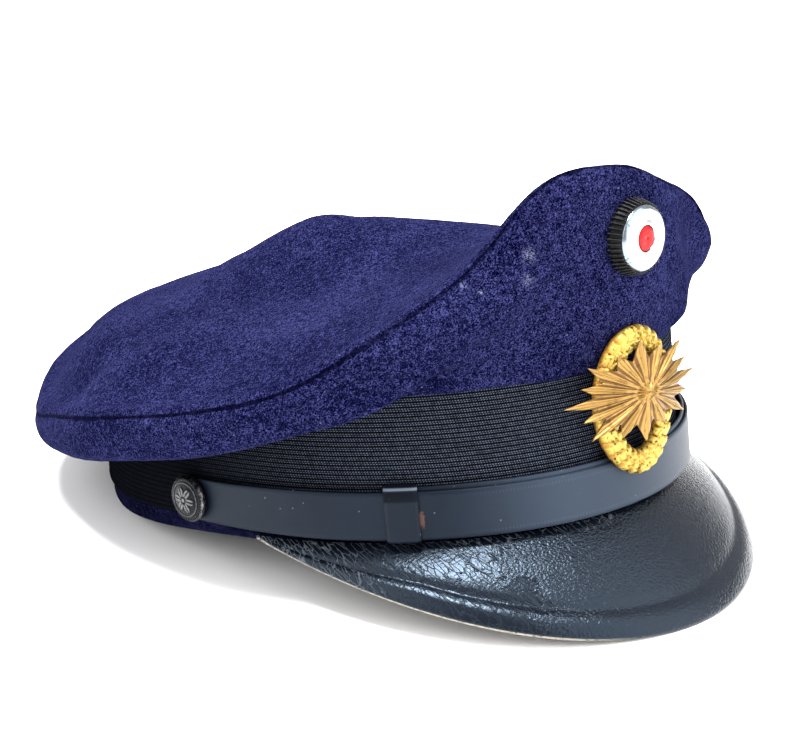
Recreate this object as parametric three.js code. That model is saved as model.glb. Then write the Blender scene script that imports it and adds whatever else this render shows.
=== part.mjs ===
// A peaked police cap of wool felt with a ribbed mohair band, a lacquered peak, a leather chin strap,
// a cockade and a gilt badge.
// Lengths are millimetres. The cap faces -Y, the wearer's right is -X and +Z is up.
// The pieces are modelled with the band upright, and the whole cap is then leant back on the band's
// rear edge and the tip of the peak, as it rests on a table.
import * as THREE from "three";

// Head band, an oval whose half axes are taken at the face of the mohair. Its left side is pushed in.
const BAND_RIGHT_WIDTH = 84;
const BAND_LEFT_WIDTH = 81.6;
const BAND_HALF_LENGTH = 103;
const BAND_HEIGHT = 46.5;
const MOHAIR_WALL = 1.2;
const MOHAIR_START = 5.6;
const WOOL_WALL = 2;

// The soft back of the band sags and spreads at its foot, from one angle to another off the front
const SAG_DEPTH = 3.6;
const SAG_SPREAD = 3.2;
const SAG_START = 76;
const SAG_FULL = 120;
const GAP = 0.3;

// Resting pose
const LEAN_DEGREES = 7.1;
const FLOOR_UNDER_BAND = 12.25;

// Crown
const FELT_WALL = 1.6;
const SHOULDER_SHARE = 0.93;
const PLATE_WAVES = 8;
const RIM_ROLL_HEIGHT = 0.9;
const RIM_ROLL_WIDTH = 5.5;
const SEAM_HALF_GAP = 0.2;
const FLANGE_REACH = 3.2;
const FLANGE_WALL = 1.3;
const SIDE_START = 0.45;
const QUARTER_HALF_GAP = 0.12;

// The crown round its edge, a row for each section. The angle runs from the front towards the
// wearer's right. Seam: where the top panel meets the side. Low and high: the two shaping points of
// the side panel, given from the band and from the seam. Shoulder: the top panel over the band.
const CROWN_COLUMNS = [
  "angle", "seamRadius", "seamHeight", "lowOut", "lowHeight", "highOut", "highHeight",
  "shoulderHeight", "shoulderSlope", "edgeSlope",
];
const CROWN_SECTIONS = [
  [0, 110, 105.6, 9, 68, 1, 96, 104.5, 0.95, 0.7],
  [14, 110.5, 105.2, 5.5, 68.5, 4, 77.5, 94.5, 0.65, 0.3],
  [28, 110.5, 83, 5, 64.5, 3.5, 50.5, 80, 0.3, -0.1],
  [42, 112, 67.5, 4, 64.5, 4, 25.5, 69, -0.05, -0.45],
  [56, 109, 53.5, 4, 45, 3, 27.5, 62, -0.25, -0.6],
  [72, 108, 46.5, 4, 30.5, 3.5, 24, 56, -0.35, -0.6],
  [92, 107, 40.5, 4, 23.5, 3.5, 17, 54, -0.35, -0.6],
  [114, 109, 33.3, 4, 17.8, 4.5, 9.2, 54.5, -0.2, -0.75],
  [136, 117, 26.5, 4, 13.8, 5.5, 9.5, 54.5, -0.15, -0.8],
  [158, 125, 34.2, 4, 15.5, 5, 11, 54, -0.1, -0.3],
  [180, 127.5, 41.3, 4, 17.5, 4.5, 11.5, 51.5, -0.1, -0.15],
  [206, 122.5, 45.5, 4, 18.5, 4.5, 11, 52, -0.15, -0.3],
  [234, 112.5, 38.5, 4, 20, 4.5, 13, 53.5, -0.3, -0.75],
  [264, 106.5, 44, 4, 22, 4.5, 20, 54, -0.35, -0.65],
  [286, 107.5, 50, 3.5, 32, 6, 32.5, 57, -0.4, -0.6],
  [302, 107.5, 57, 3, 42.5, 6, 47.5, 64, -0.35, -0.5],
  [316, 108.5, 66, 7.5, 47, -3, 61, 69.5, -0.2, -0.45],
  [330, 106.5, 83.5, 12, 47.5, -10, 71, 78.5, 0, -0.35],
  [345, 108.5, 95, 9.5, 66, -1, 87, 91.5, 0.4, 0.1],
];

// Soft humps of the top panel: centre, half width each way, turn in degrees and height
const HUMP_COLUMNS = ["x", "y", "along", "across", "turn", "height"];
const HUMPS = [
  [9.5, 5, 28, 36, 56, 7.5],
  [17.5, 58, 21, 47, -4.5, 9.5],
  [-12.5, 22, 12.5, 25, 9.5, 9.5],
];

// Peak
const PEAK_WALL = 2.2;
const PEAK_LENGTH = 41.6;
const PEAK_HALF_SWEEP = 75.5;
const PEAK_DROOP = 46.9;
const PEAK_DROOP_EASE = -11.6;
const PEAK_PLAN_POWER = 1.94;
const PEAK_LENGTH_POWER = 1.09;
const PEAK_FORWARD_SHARE = 0.61;
const PEAK_ROOT_HEIGHT = 1.5;
const PEAK_ROOT_OUT = -0.2;
const PEAK_BULGE = 1.6;
const PEAK_RIM_HEIGHT = 1;
const PEAK_GROOVE_IN = 9.5;
const PEAK_FULL_LENGTH = 24;
const PEAK_SWEEP_END = 0.985;
const PEAK_STEPS = 32;

// Chin strap
const STRAP_WIDTH = 14.8;
const STRAP_WALL = 1;
const STRAP_NARROWING = 0.6;
const STRAP_LOW = 3.4;
const STRAP_BACK_RISE = 1.4;
const STRAP_INNER_OUT = 1.5;
const STRAP_INNER_RISE = 1.2;
const STRAP_OUTER_OUT = 2.75;
const SETTLE_START = 57;
const SETTLE_FULL = 79;
const BUTTON_ANGLE = 87.2;
const KEEPER_ANGLE = 45.9;
const KEEPER_LEFT_ANGLE = 62;
const KEEPER_WIDTH = 9.6;
const KEEPER_WALL = 1;
const KEEPER_EDGE = 0.6;
const KEEPER_OUT = 0.25;
const STRAP_TAIL_PAST_KEEPER = 2.5;

// Buttons, cockade and badge
const BUTTON_RADIUS = 7.2;
const BUTTON_HEIGHT = 11.8;
const COCKADE_HEIGHT = 84.4;
const COCKADE_ANGLE = -1.3;
const COCKADE_TEETH = 44;
const ROSETTE_RADIUS = 11.8;
const ROSETTE_HEIGHT = 4.2;
const ROSETTE_TAPER = 0.6;
const TOOTH_DEPTH = 0.7;
const DISC_RADIUS = 9.8;
const BOSS_RADIUS = 3.7;
const BADGE_HEIGHT = 35.8;
const BADGE_FACE = 107.2;
const BADGE_ACROSS = 2;
const WREATH_HALF_WIDTH = 12.7;
const WREATH_HALF_HEIGHT = 18.8;
const WREATH_HALF_TUBE = 3.6;
const WREATH_DEPTH = 4.4;
const STAR_RAYS = 16;
const STAR_HALF_WIDTH = 28;
const STAR_HALF_HEIGHT = 15.5;
const STAR_ACROSS = -1.5;
const STAR_UP = 3.5;

const radians = THREE.MathUtils.degToRad;
const TURN = 2 * Math.PI;
const vector = (x, y, z) => new THREE.Vector3(x, y, z);

// A finish as a three.js material
function finish(colour, roughness, metalness) {
  return new THREE.MeshStandardMaterial({ color: colour, roughness, metalness });
}

const FELT = finish(0x2b2b66, 0.95, 0);
const MOHAIR = finish(0x101216, 0.8, 0);
const LACQUER = finish(0x10141b, 0.25, 0);
const LEATHER = finish(0x3c4450, 0.5, 0);
const BLACK_METAL = finish(0x26282c, 0.4, 0.8);
const BLACK_CORD = finish(0x0c0d10, 0.5, 0);
const PALE_METAL = finish(0xd6d8da, 0.3, 0.9);
const RED_ENAMEL = finish(0xd8232a, 0.3, 0);
const YELLOW_GILT = finish(0xe0a92c, 0.45, 0.7);
const BRONZE_GILT = finish(0xc98f3c, 0.45, 0.7);

// A named mesh from points and the corners of its triangles, turned so that its faces point out
function solid(name, points, triangles, material) {
  let volume = 0;
  for (const [a, b, c] of triangles) {
    volume += points[a].dot(points[b].clone().cross(points[c]));
  }
  const corners = volume < 0 ? triangles.map(([a, b, c]) => [a, c, b]) : triangles;
  const geometry = new THREE.BufferGeometry();
  geometry.setAttribute(
    "position",
    new THREE.Float32BufferAttribute(points.flatMap((p) => [p.x, p.y, p.z]), 3),
  );
  geometry.setIndex(corners.flat());
  geometry.computeVertexNormals();
  const mesh = new THREE.Mesh(geometry, material);
  mesh.name = name;
  return mesh;
}

function quad(triangles, a, b, c, d) {
  triangles.push([a, b, c], [a, c, d]);
}

// A wall swept through stations. Each station has as many points on its front as on its back. A
// round wall closes on its first station, and the others are closed at both ends.
function sweptWall(name, stations, round, material) {
  const across = stations[0].front.length;
  const points = stations.flatMap(({ front, back }) => [...front, ...back]);
  const at = (station, k) => (station % stations.length) * 2 * across + k;
  const triangles = [];
  const runs = round ? stations.length : stations.length - 1;
  for (let i = 0; i < runs; i++) {
    for (let k = 0; k + 1 < across; k++) {
      quad(triangles, at(i, k), at(i + 1, k), at(i + 1, k + 1), at(i, k + 1));
      quad(triangles, at(i, across + k + 1), at(i + 1, across + k + 1),
        at(i + 1, across + k), at(i, across + k));
    }
    quad(triangles, at(i, across), at(i + 1, across), at(i + 1, 0), at(i, 0));
    quad(triangles, at(i, across - 1), at(i + 1, across - 1),
      at(i + 1, 2 * across - 1), at(i, 2 * across - 1));
  }
  if (!round) {
    const last = stations.length - 1;
    for (let k = 0; k + 1 < across; k++) {
      quad(triangles, at(0, k), at(0, k + 1), at(0, across + k + 1), at(0, across + k));
      quad(triangles, at(last, across + k), at(last, across + k + 1), at(last, k + 1), at(last, k));
    }
  }
  return solid(name, points, triangles, material);
}

// Evenly spaced steps from one value to another, both ends included
function steps(from, to, count) {
  return Array.from({ length: count + 1 }, (_, i) => from + ((to - from) * i) / count);
}

const halfWidth = (angle) => (Math.sin(angle) < 0 ? BAND_LEFT_WIDTH : BAND_RIGHT_WIDTH);

// The oval of the band, grown outward. The angle is the oval's own, from the front to the right.
function ovalPoint(angle, growth, height) {
  return vector(
    -(halfWidth(angle) + growth) * Math.sin(angle),
    -(BAND_HALF_LENGTH + growth) * Math.cos(angle),
    height,
  );
}

function ovalNormal(angle) {
  return vector(-Math.sin(angle) / halfWidth(angle), -Math.cos(angle) / BAND_HALF_LENGTH, 0).normalize();
}

// A point of the band, whose foot spreads and sinks towards the back
function bandPoint(angle, growth, height) {
  const backward = 180 - Math.abs(180 - THREE.MathUtils.radToDeg(angle));
  const sag = THREE.MathUtils.smoothstep(backward, SAG_START, SAG_FULL) * (1 - height / BAND_HEIGHT);
  return ovalPoint(angle, growth + SAG_SPREAD * sag, height - SAG_DEPTH * sag);
}

// How far the band's face lies from the middle in a true direction
function bandRadius(angle) {
  return 1 / Math.hypot(Math.sin(angle) / halfWidth(angle), Math.cos(angle) / BAND_HALF_LENGTH);
}

// The height of the table top under a point, in the frame of the upright band
const lean = radians(LEAN_DEGREES);
function tableHeight(y) {
  return (y * Math.sin(lean) - FLOOR_UNDER_BAND) / Math.cos(lean);
}

function aboveTable(point) {
  return point.setZ(Math.max(point.z, tableHeight(point.y)));
}

// A table's rows as objects with named fields
function namedRows(columns, rows) {
  return rows.map((row) => Object.fromEntries(columns.map((column, i) => [column, row[i]])));
}

const crownRows = namedRows(CROWN_COLUMNS, CROWN_SECTIONS);
const humpRows = namedRows(HUMP_COLUMNS, HUMPS);

// The crown's sizes at any angle, by a smooth curve through the rows on both sides of it
function crownSection(angle) {
  const count = crownRows.length;
  const degrees = THREE.MathUtils.euclideanModulo(THREE.MathUtils.radToDeg(angle), 360);
  const start = crownRows.findLastIndex((row) => row.angle <= degrees);
  const [before, from, to, after] = [-1, 0, 1, 2].map((step) => {
    const index = start + step;
    const row = crownRows[(index + count) % count];
    return { ...row, angle: row.angle + 360 * Math.floor(index / count) };
  });
  const span = to.angle - from.angle;
  const t = (degrees - from.angle) / span;
  const section = {};
  for (const column of CROWN_COLUMNS.slice(1)) {
    const leaving = ((to[column] - before[column]) / (to.angle - before.angle)) * span;
    const arriving = ((after[column] - from[column]) / (after.angle - from.angle)) * span;
    section[column] =
      (2 * t ** 3 - 3 * t ** 2 + 1) * from[column] + (t ** 3 - 2 * t ** 2 + t) * leaving +
      (3 * t ** 2 - 2 * t ** 3) * to[column] + (t ** 3 - t ** 2) * arriving;
  }
  return section;
}

// The top panel inside the shoulder is a plate clamped at the shoulder's height and slope. Each
// wave of the height round the shoulder has its own share of the plate.
const SHOULDER_SAMPLES = 144;
const plateWaves = steps(0, PLATE_WAVES, PLATE_WAVES).map((order) => {
  const wave = { order, height: [0, 0], slope: [0, 0] };
  for (let i = 0; i < SHOULDER_SAMPLES; i++) {
    const angle = (i * TURN) / SHOULDER_SAMPLES;
    const section = crownSection(angle);
    const share = (order === 0 ? 1 : 2) / SHOULDER_SAMPLES;
    const slope = section.shoulderSlope * bandRadius(angle) * SHOULDER_SHARE;
    [Math.cos(order * angle), Math.sin(order * angle)].forEach((part, k) => {
      wave.height[k] += section.shoulderHeight * part * share;
      wave.slope[k] += slope * part * share;
    });
  }
  return wave;
});

function plateHeight(angle, reach) {
  let height = 0;
  for (const wave of plateWaves) {
    [Math.cos(wave.order * angle), Math.sin(wave.order * angle)].forEach((part, k) => {
      const curl = (wave.order * wave.height[k] - wave.slope[k]) / 2;
      height += reach ** wave.order * (wave.height[k] + (1 - reach ** 2) * curl) * part;
    });
  }
  return height;
}

function humpHeight(x, y) {
  let height = 0;
  for (const hump of humpRows) {
    const turn = radians(hump.turn);
    const along = (x - hump.x) * Math.cos(turn) + (y - hump.y) * Math.sin(turn);
    const across = (y - hump.y) * Math.cos(turn) - (x - hump.x) * Math.sin(turn);
    height += hump.height * Math.exp(-((along / hump.along) ** 2 + (across / hump.across) ** 2) / 2);
  }
  return height;
}

// A point of the top panel's outer face, by its angle and distance from the middle
function topPoint(angle, radius) {
  const section = crownSection(angle);
  const shoulder = bandRadius(angle) * SHOULDER_SHARE;
  let height;
  if (radius <= shoulder) {
    height = plateHeight(angle, radius / shoulder);
  } else {
    const width = section.seamRadius - shoulder;
    const t = (radius - shoulder) / width;
    height =
      (2 * t ** 3 - 3 * t ** 2 + 1) * plateHeight(angle, 1) +
      (t ** 3 - 2 * t ** 2 + t) * width * section.shoulderSlope +
      (3 * t ** 2 - 2 * t ** 3) * section.seamHeight +
      (t ** 3 - t ** 2) * width * section.edgeSlope;
  }
  const x = -radius * Math.sin(angle);
  const y = -radius * Math.cos(angle);
  return vector(x, y, height + humpHeight(x, y) * (1 - (radius / section.seamRadius) ** 4));
}

// A point of the side panel's outer face, by its angle and its share of the way to the seam
function sidePoint(angle, share) {
  const section = crownSection(angle);
  const band = bandRadius(angle);
  const profile = new THREE.CubicBezierCurve(
    new THREE.Vector2(band + SIDE_START, BAND_HEIGHT + GAP),
    new THREE.Vector2(band + section.lowOut, section.lowHeight),
    new THREE.Vector2(section.seamRadius + section.highOut, section.highHeight),
    new THREE.Vector2(section.seamRadius, section.seamHeight),
  );
  const { x: radius, y: height } = profile.getPoint(share);
  return vector(-radius * Math.sin(angle), -radius * Math.cos(angle), height);
}

// The outward normal of a surface, from small steps along it and round the crown. The step along it
// goes up the side, or in from the seam over the top.
function surfaceNormal(surface, angle, place, step) {
  const along = surface(angle, place + step).sub(surface(angle, place - step));
  const turnStep = 0.004;
  const round = surface(angle + turnStep, place).sub(surface(angle - turnStep, place));
  return along.cross(round).normalize();
}

const topNormal = (angle, radius) => surfaceNormal(topPoint, angle, radius, -0.4);
const sideNormal = (angle, share) =>
  surfaceNormal(sidePoint, angle, THREE.MathUtils.clamp(share, 0.01, 0.99), 0.01);

// Where the inner faces of the two crown panels meet under the seam
function seamCorner(angle) {
  const { seamRadius } = crownSection(angle);
  const top = topNormal(angle, seamRadius - 0.5);
  const side = sideNormal(angle, 0.98);
  const spread = Math.max(1 + top.dot(side), 0.35);
  const seam = sidePoint(angle, 1);
  const corner = seam.clone().addScaledVector(top.clone().add(side), -FELT_WALL / spread);
  const apart = top.sub(side).normalize();
  return { seam, corner, apart };
}

const CROWN_STEPS = 64;
const crownAngles = steps(0, TURN, CROWN_STEPS).slice(0, -1);

// The rolled edge of the top panel stands proud just above the seam
function rimRoll(distance) {
  return RIM_ROLL_HEIGHT * Math.sin(Math.PI * Math.min(1, distance / RIM_ROLL_WIDTH) ** 0.7);
}

// The top panel: rings of points from the seam to the middle, on both faces
function crownTop() {
  const rimInsets = [0.3, 1.6, 3.4, 6];
  const drapeShares = [0.76, 0.54, 0.34, 0.17];
  const plateShares = [1, 0.86, 0.68, 0.48, 0.26];
  const outerRings = [];
  const innerRings = [];
  const rings = rimInsets.length + drapeShares.length + plateShares.length;
  for (let ring = 0; ring < rings; ring++) {
    const outer = [];
    const inner = [];
    for (const angle of crownAngles) {
      const { seamRadius } = crownSection(angle);
      const { seam, corner, apart } = seamCorner(angle);
      const plateRadius = bandRadius(angle) * SHOULDER_SHARE;
      const drape = seamRadius - rimInsets.at(-1) - plateRadius;
      const radius = [
        ...rimInsets.map((inset) => seamRadius - inset),
        ...drapeShares.map((share) => plateRadius + drape * share),
        ...plateShares.map((share) => plateRadius * share),
      ][ring];
      const roll = rimRoll(seamRadius - radius);
      const point = topPoint(angle, radius).addScaledVector(topNormal(angle, radius), roll);
      outer.push(ring === 0 ? seam.clone().addScaledVector(apart, SEAM_HALF_GAP) : point);
      const cornerRadius = Math.hypot(corner.x, corner.y);
      const innerRadius = radius - Math.max(0, seamRadius - cornerRadius) * (radius / seamRadius) ** 4;
      const under = topPoint(angle, innerRadius).addScaledVector(topNormal(angle, innerRadius), -FELT_WALL);
      inner.push(ring === 0 ? corner.addScaledVector(apart, SEAM_HALF_GAP * 1.5) : under);
    }
    outerRings.push(outer);
    innerRings.push(inner);
  }
  const middle = topPoint(0, 0);
  const underMiddle = middle.clone().setZ(middle.z - FELT_WALL);
  const points = [...outerRings.flat(), ...innerRings.flat(), middle, underMiddle];
  const faceSize = rings * CROWN_STEPS;
  const at = (face, ring, i) => face * faceSize + ring * CROWN_STEPS + (i % CROWN_STEPS);
  const triangles = [];
  for (let i = 0; i < CROWN_STEPS; i++) {
    for (let ring = 0; ring + 1 < rings; ring++) {
      quad(triangles, at(0, ring, i), at(0, ring, i + 1), at(0, ring + 1, i + 1), at(0, ring + 1, i));
      quad(triangles, at(1, ring, i), at(1, ring + 1, i), at(1, ring + 1, i + 1), at(1, ring, i + 1));
    }
    quad(triangles, at(0, 0, i), at(1, 0, i), at(1, 0, i + 1), at(0, 0, i + 1));
    triangles.push([at(0, rings - 1, i), at(0, rings - 1, i + 1), 2 * faceSize]);
    triangles.push([at(1, rings - 1, i + 1), at(1, rings - 1, i), 2 * faceSize + 1]);
  }
  return solid("crown_top", points, triangles, FELT);
}

// A quarter of the side panel, from an angle in degrees on: a flange that sits on the band, then
// the wall that rises or rolls to the seam
function crownSide(name, start) {
  const angles = steps(radians(start), radians(start + 90), CROWN_STEPS / 4);
  angles[0] += radians(QUARTER_HALF_GAP);
  angles[angles.length - 1] -= radians(QUARTER_HALF_GAP);
  const shares = [0.13, 0.29, 0.46, 0.63, 0.78, 0.9];
  const stations = angles.map((angle) => {
    const out = (radius, height) => vector(-radius * Math.sin(angle), -radius * Math.cos(angle), height);
    const band = bandRadius(angle);
    const bottom = BAND_HEIGHT + GAP;
    const flange = out(band - FLANGE_REACH, bottom);
    const foot = sidePoint(angle, 0);
    const up = vector(0, 0, 1);
    const inward = sideNormal(angle, 0).negate();
    const spread = Math.max(1 + up.dot(inward), 0.5);
    const footCorner = foot.clone().addScaledVector(up.add(inward), FLANGE_WALL / spread);
    const { seam, corner, apart } = seamCorner(angle);
    const inside = (share) =>
      sidePoint(angle, share).addScaledVector(sideNormal(angle, share), -FELT_WALL);
    return {
      front: [flange, foot, ...shares.map((share) => sidePoint(angle, share)),
        seam.addScaledVector(apart, -SEAM_HALF_GAP)],
      back: [out(band - FLANGE_REACH, bottom + FLANGE_WALL), footCorner,
        ...shares.map((share) => inside(0.04 + 0.9 * share)),
        corner.addScaledVector(apart, -SEAM_HALF_GAP * 1.5)],
    };
  });
  return sweptWall(name, stations, false, FELT);
}

// A band round the head between two heights, flattened where it rests on the table
function bandRing(name, outerGrowth, wall, low, high, material) {
  const stations = steps(0, TURN, CROWN_STEPS).slice(0, -1).map((angle) => ({
    front: [aboveTable(bandPoint(angle, outerGrowth, low)), bandPoint(angle, outerGrowth, high)],
    back: [
      aboveTable(bandPoint(angle, outerGrowth - wall, low)),
      bandPoint(angle, outerGrowth - wall, high),
    ],
  }));
  return sweptWall(name, stations, true, material);
}

// A point of the middle of the peak's wall: sweep runs from -1 at its left end to 1 at its right
// end, and inset is the distance from its free edge
function peakPoint(sweep, share) {
  const angle = sweep * radians(PEAK_HALF_SWEEP);
  const root = ovalPoint(angle, PEAK_ROOT_OUT, PEAK_ROOT_HEIGHT);
  const length = PEAK_LENGTH * (1 - Math.abs(sweep) ** PEAK_PLAN_POWER) ** PEAK_LENGTH_POWER;
  const forward = vector(0, -1, 0).multiplyScalar(PEAK_FORWARD_SHARE);
  const direction = ovalNormal(angle).multiplyScalar(1 - PEAK_FORWARD_SHARE).add(forward).normalize();
  const droop = radians(PEAK_DROOP + PEAK_DROOP_EASE * sweep ** 2);
  const slope = direction.multiplyScalar(Math.cos(droop)).add(vector(0, 0, -Math.sin(droop)));
  const normal = direction.clone().setZ(0).normalize().multiplyScalar(Math.sin(droop));
  normal.z = Math.cos(droop);
  const inset = (1 - share) * length;
  const scale = Math.min(1, length / PEAK_FULL_LENGTH);
  const groove = PEAK_GROOVE_IN * scale;
  const rimShare = THREE.MathUtils.clamp(inset / groove, 0, 1);
  const rim = PEAK_RIM_HEIGHT * scale * Math.abs(Math.sin(Math.PI * rimShare)) ** 0.8;
  const bulge = PEAK_BULGE * scale * Math.sin(Math.PI * share);
  return root.addScaledVector(slope, length * share).addScaledVector(normal, rim + bulge);
}

function peak() {
  const sweeps = steps(-PEAK_SWEEP_END, PEAK_SWEEP_END, PEAK_STEPS);
  const rimInsets = [9.5, 7.2, 4.7, 2.2, 0];
  const stations = sweeps.map((sweep) => {
    const length = PEAK_LENGTH * (1 - Math.abs(sweep) ** PEAK_PLAN_POWER) ** PEAK_LENGTH_POWER;
    const scale = Math.min(1, length / PEAK_FULL_LENGTH);
    const shares = [0, 0.2, 0.42].map((share) => share * (1 - (PEAK_GROOVE_IN * scale) / length) / 0.6);
    shares.push(...rimInsets.map((inset) => 1 - (inset * scale) / length));
    const normals = shares.map((share) => {
      const along = peakPoint(sweep, share + 0.01).sub(peakPoint(sweep, share - 0.01));
      const round = peakPoint(sweep + 0.004, share).sub(peakPoint(sweep - 0.004, share));
      const normal = along.cross(round).normalize();
      return normal.z < 0 ? normal.negate() : normal;
    });
    const face = (side) => shares.map((share, k) =>
      aboveTable(peakPoint(sweep, share).addScaledVector(normals[k], (side * PEAK_WALL) / 2)));
    return { front: face(1), back: face(-1) };
  });
  return sweptWall("peak", stations, false, LACQUER);
}

// A strap round the front of the band, from the button on one side (1 right, -1 left) to a tail just
// past the keeper on the other side. Its end at the button is round.
function strap(name, side, farKeeper, outward, rise) {
  const middleRadius = (BAND_RIGHT_WIDTH + BAND_HALF_LENGTH) / 2;
  const roundSpan = STRAP_WIDTH / 2 / middleRadius;
  const ends = [0, 0.12, 0.45, 1].map((share) => share * roundSpan);
  const start = radians(BUTTON_ANGLE);
  const straight = steps(start, -farKeeper - radians(STRAP_TAIL_PAST_KEEPER), 46).slice(1);
  const places = [...ends.map((end) => start + roundSpan - end), ...straight];
  const stations = places.map((place) => {
    const angle = side * place;
    const past = Math.max(0, (place - start) / roundSpan);
    const narrowing = STRAP_NARROWING * THREE.MathUtils.smoothstep(place, radians(60), start);
    const half = (STRAP_WIDTH / 2 - narrowing) * Math.max(0.16, Math.sqrt(Math.max(0, 1 - past ** 2)));
    const settle = THREE.MathUtils.smoothstep(place, radians(SETTLE_START), radians(SETTLE_FULL));
    const growth = outward + (STRAP_INNER_OUT - outward) * settle;
    const low = STRAP_LOW + STRAP_BACK_RISE * (1 - Math.cos(angle));
    const middle = low + STRAP_WIDTH / 2 - narrowing + rise * (1 - settle);
    const wall = (out) => [ovalPoint(angle, out, middle - half), ovalPoint(angle, out, middle + half)];
    return { front: wall(growth + STRAP_WALL), back: wall(growth) };
  });
  return sweptWall(name, stations, false, LEATHER);
}

// A flat loop round both straps, swept round its own opening
function keeper(name, angle) {
  const low = STRAP_LOW + STRAP_BACK_RISE * (1 - Math.cos(angle)) - GAP / 2;
  const high = low + STRAP_WIDTH + STRAP_INNER_RISE + GAP;
  const inner = KEEPER_OUT + KEEPER_WALL;
  const outer = STRAP_OUTER_OUT + STRAP_WALL + 0.25;
  const corners = [
    { out: inner, up: low, outStep: -1, upStep: -1 },
    { out: outer, up: low, outStep: 1, upStep: -1 },
    { out: outer, up: high, outStep: 1, upStep: 1 },
    { out: inner, up: high, outStep: -1, upStep: 1 },
  ];
  const halfTurn = KEEPER_WIDTH / 2 / ((BAND_RIGHT_WIDTH + BAND_HALF_LENGTH) / 2);
  const turns = steps(angle - halfTurn, angle + halfTurn, 3);
  const stations = corners.map(({ out, up, outStep, upStep }) => ({
    front: turns.map((turn) => ovalPoint(turn, out + outStep * KEEPER_WALL, up + upStep * KEEPER_EDGE)),
    back: turns.map((turn) => ovalPoint(turn, out, up)),
  }));
  return sweptWall(name, stations, true, LEATHER);
}

// A piece turned round its own axis, from a profile of [radius, height] points
function turned(name, profile, sides, material) {
  const shape = profile.map(([radius, height]) => new THREE.Vector2(radius, height));
  const mesh = new THREE.Mesh(new THREE.LatheGeometry(shape, sides), material);
  mesh.name = name;
  return mesh;
}

// Sets a piece turned about its Y axis on a place, with that axis pointing outward
function setOn(mesh, place, outward) {
  mesh.position.copy(place);
  mesh.quaternion.setFromUnitVectors(vector(0, 1, 0), outward);
  return mesh;
}

function button(name, side) {
  const angle = side * radians(BUTTON_ANGLE);
  const r = BUTTON_RADIUS;
  const profile = [
    [0, 0], [r * 0.86, 0], [r, 0.8], [r, 1.9], [r * 0.9, 2.6], [r * 0.82, 2.3],
    [r * 0.6, 3], [r * 0.3, 3.5], [0, 3.6],
  ];
  const place = ovalPoint(angle, STRAP_INNER_OUT + STRAP_WALL + GAP, BUTTON_HEIGHT);
  return setOn(turned(name, profile, 20, BLACK_METAL), place, ovalNormal(angle));
}

// The cockade's seat on the front of the crown
function cockadeSeat() {
  const angle = radians(COCKADE_ANGLE);
  const share = steps(0, 1, 200).find((step) => sidePoint(angle, step).z >= COCKADE_HEIGHT);
  const outward = sideNormal(angle, share);
  return { place: sidePoint(angle, share).addScaledVector(outward, GAP), outward };
}

function cockadeRosette() {
  const bore = DISC_RADIUS + GAP;
  const stations = steps(0, TURN, 2 * COCKADE_TEETH).slice(0, -1).map((turn, i) => {
    const cut = i % 2 === 0 ? 0 : TOOTH_DEPTH;
    const at = (radius, height) => vector(radius * Math.cos(turn), height, radius * Math.sin(turn));
    return {
      front: [at(ROSETTE_RADIUS - cut, 0), at(ROSETTE_RADIUS - ROSETTE_TAPER - cut, ROSETTE_HEIGHT)],
      back: [at(bore, 0), at(bore, ROSETTE_HEIGHT)],
    };
  });
  return sweptWall("cockade_rosette", stations, true, BLACK_CORD);
}

function cockadeDisc() {
  const r = DISC_RADIUS;
  const well = BOSS_RADIUS + GAP;
  const profile = [
    [0, 0], [r * 0.94, 0], [r, 0.5], [r, 4.6], [r * 0.965, 5.1], [r * 0.9, 5.3],
    [r * 0.76, 5.15], [r * 0.72, 5.35], [well + 0.5, 5.4], [well, 5.2], [well, 4.2], [0, 4.2],
  ];
  return turned("cockade_disc", profile, 26, PALE_METAL);
}

function cockadeCentre() {
  const r = BOSS_RADIUS;
  const profile = [[0, 4.5], [r, 4.5], [r, 5.4], [r * 0.85, 5.75], [r * 0.5, 5.95], [0, 6]];
  return turned("cockade_centre", profile, 18, RED_ENAMEL);
}

// Bends a flat badge point round the front of the cap, by its place across, up and out from the cap
function onBadgeFace(across, up, out) {
  const curve = (BAND_RIGHT_WIDTH + 4) ** 2 / (BAND_HALF_LENGTH + 4);
  const bend = across ** 2 / (2 * curve);
  return vector(BADGE_ACROSS + across, bend - BADGE_FACE - out, BADGE_HEIGHT + up);
}

// The oval wreath: a half round ring whose front swells and dips with its leaves
function badgeWreath() {
  const leaves = 14;
  const stations = steps(0, TURN, 3 * leaves).slice(0, -1).map((turn, i) => {
    const swell = [0.86, 1.1, 1][i % 3];
    const at = (offset, out) => {
      const across = (WREATH_HALF_WIDTH + offset * WREATH_HALF_TUBE) * Math.sin(turn);
      const up = (WREATH_HALF_HEIGHT + offset * WREATH_HALF_TUBE) * Math.cos(turn);
      return onBadgeFace(across, up, out * WREATH_DEPTH);
    };
    return {
      front: [at(-swell, 0.3), at(-0.62, 0.82 * swell), at(0, swell), at(0.62, 0.82 * swell), at(swell, 0.3)],
      back: [at(-0.8, 0), at(-0.4, 0), at(0, 0), at(0.4, 0), at(0.8, 0)],
    };
  });
  return sweptWall("badge_wreath", stations, true, YELLOW_GILT);
}

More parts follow.
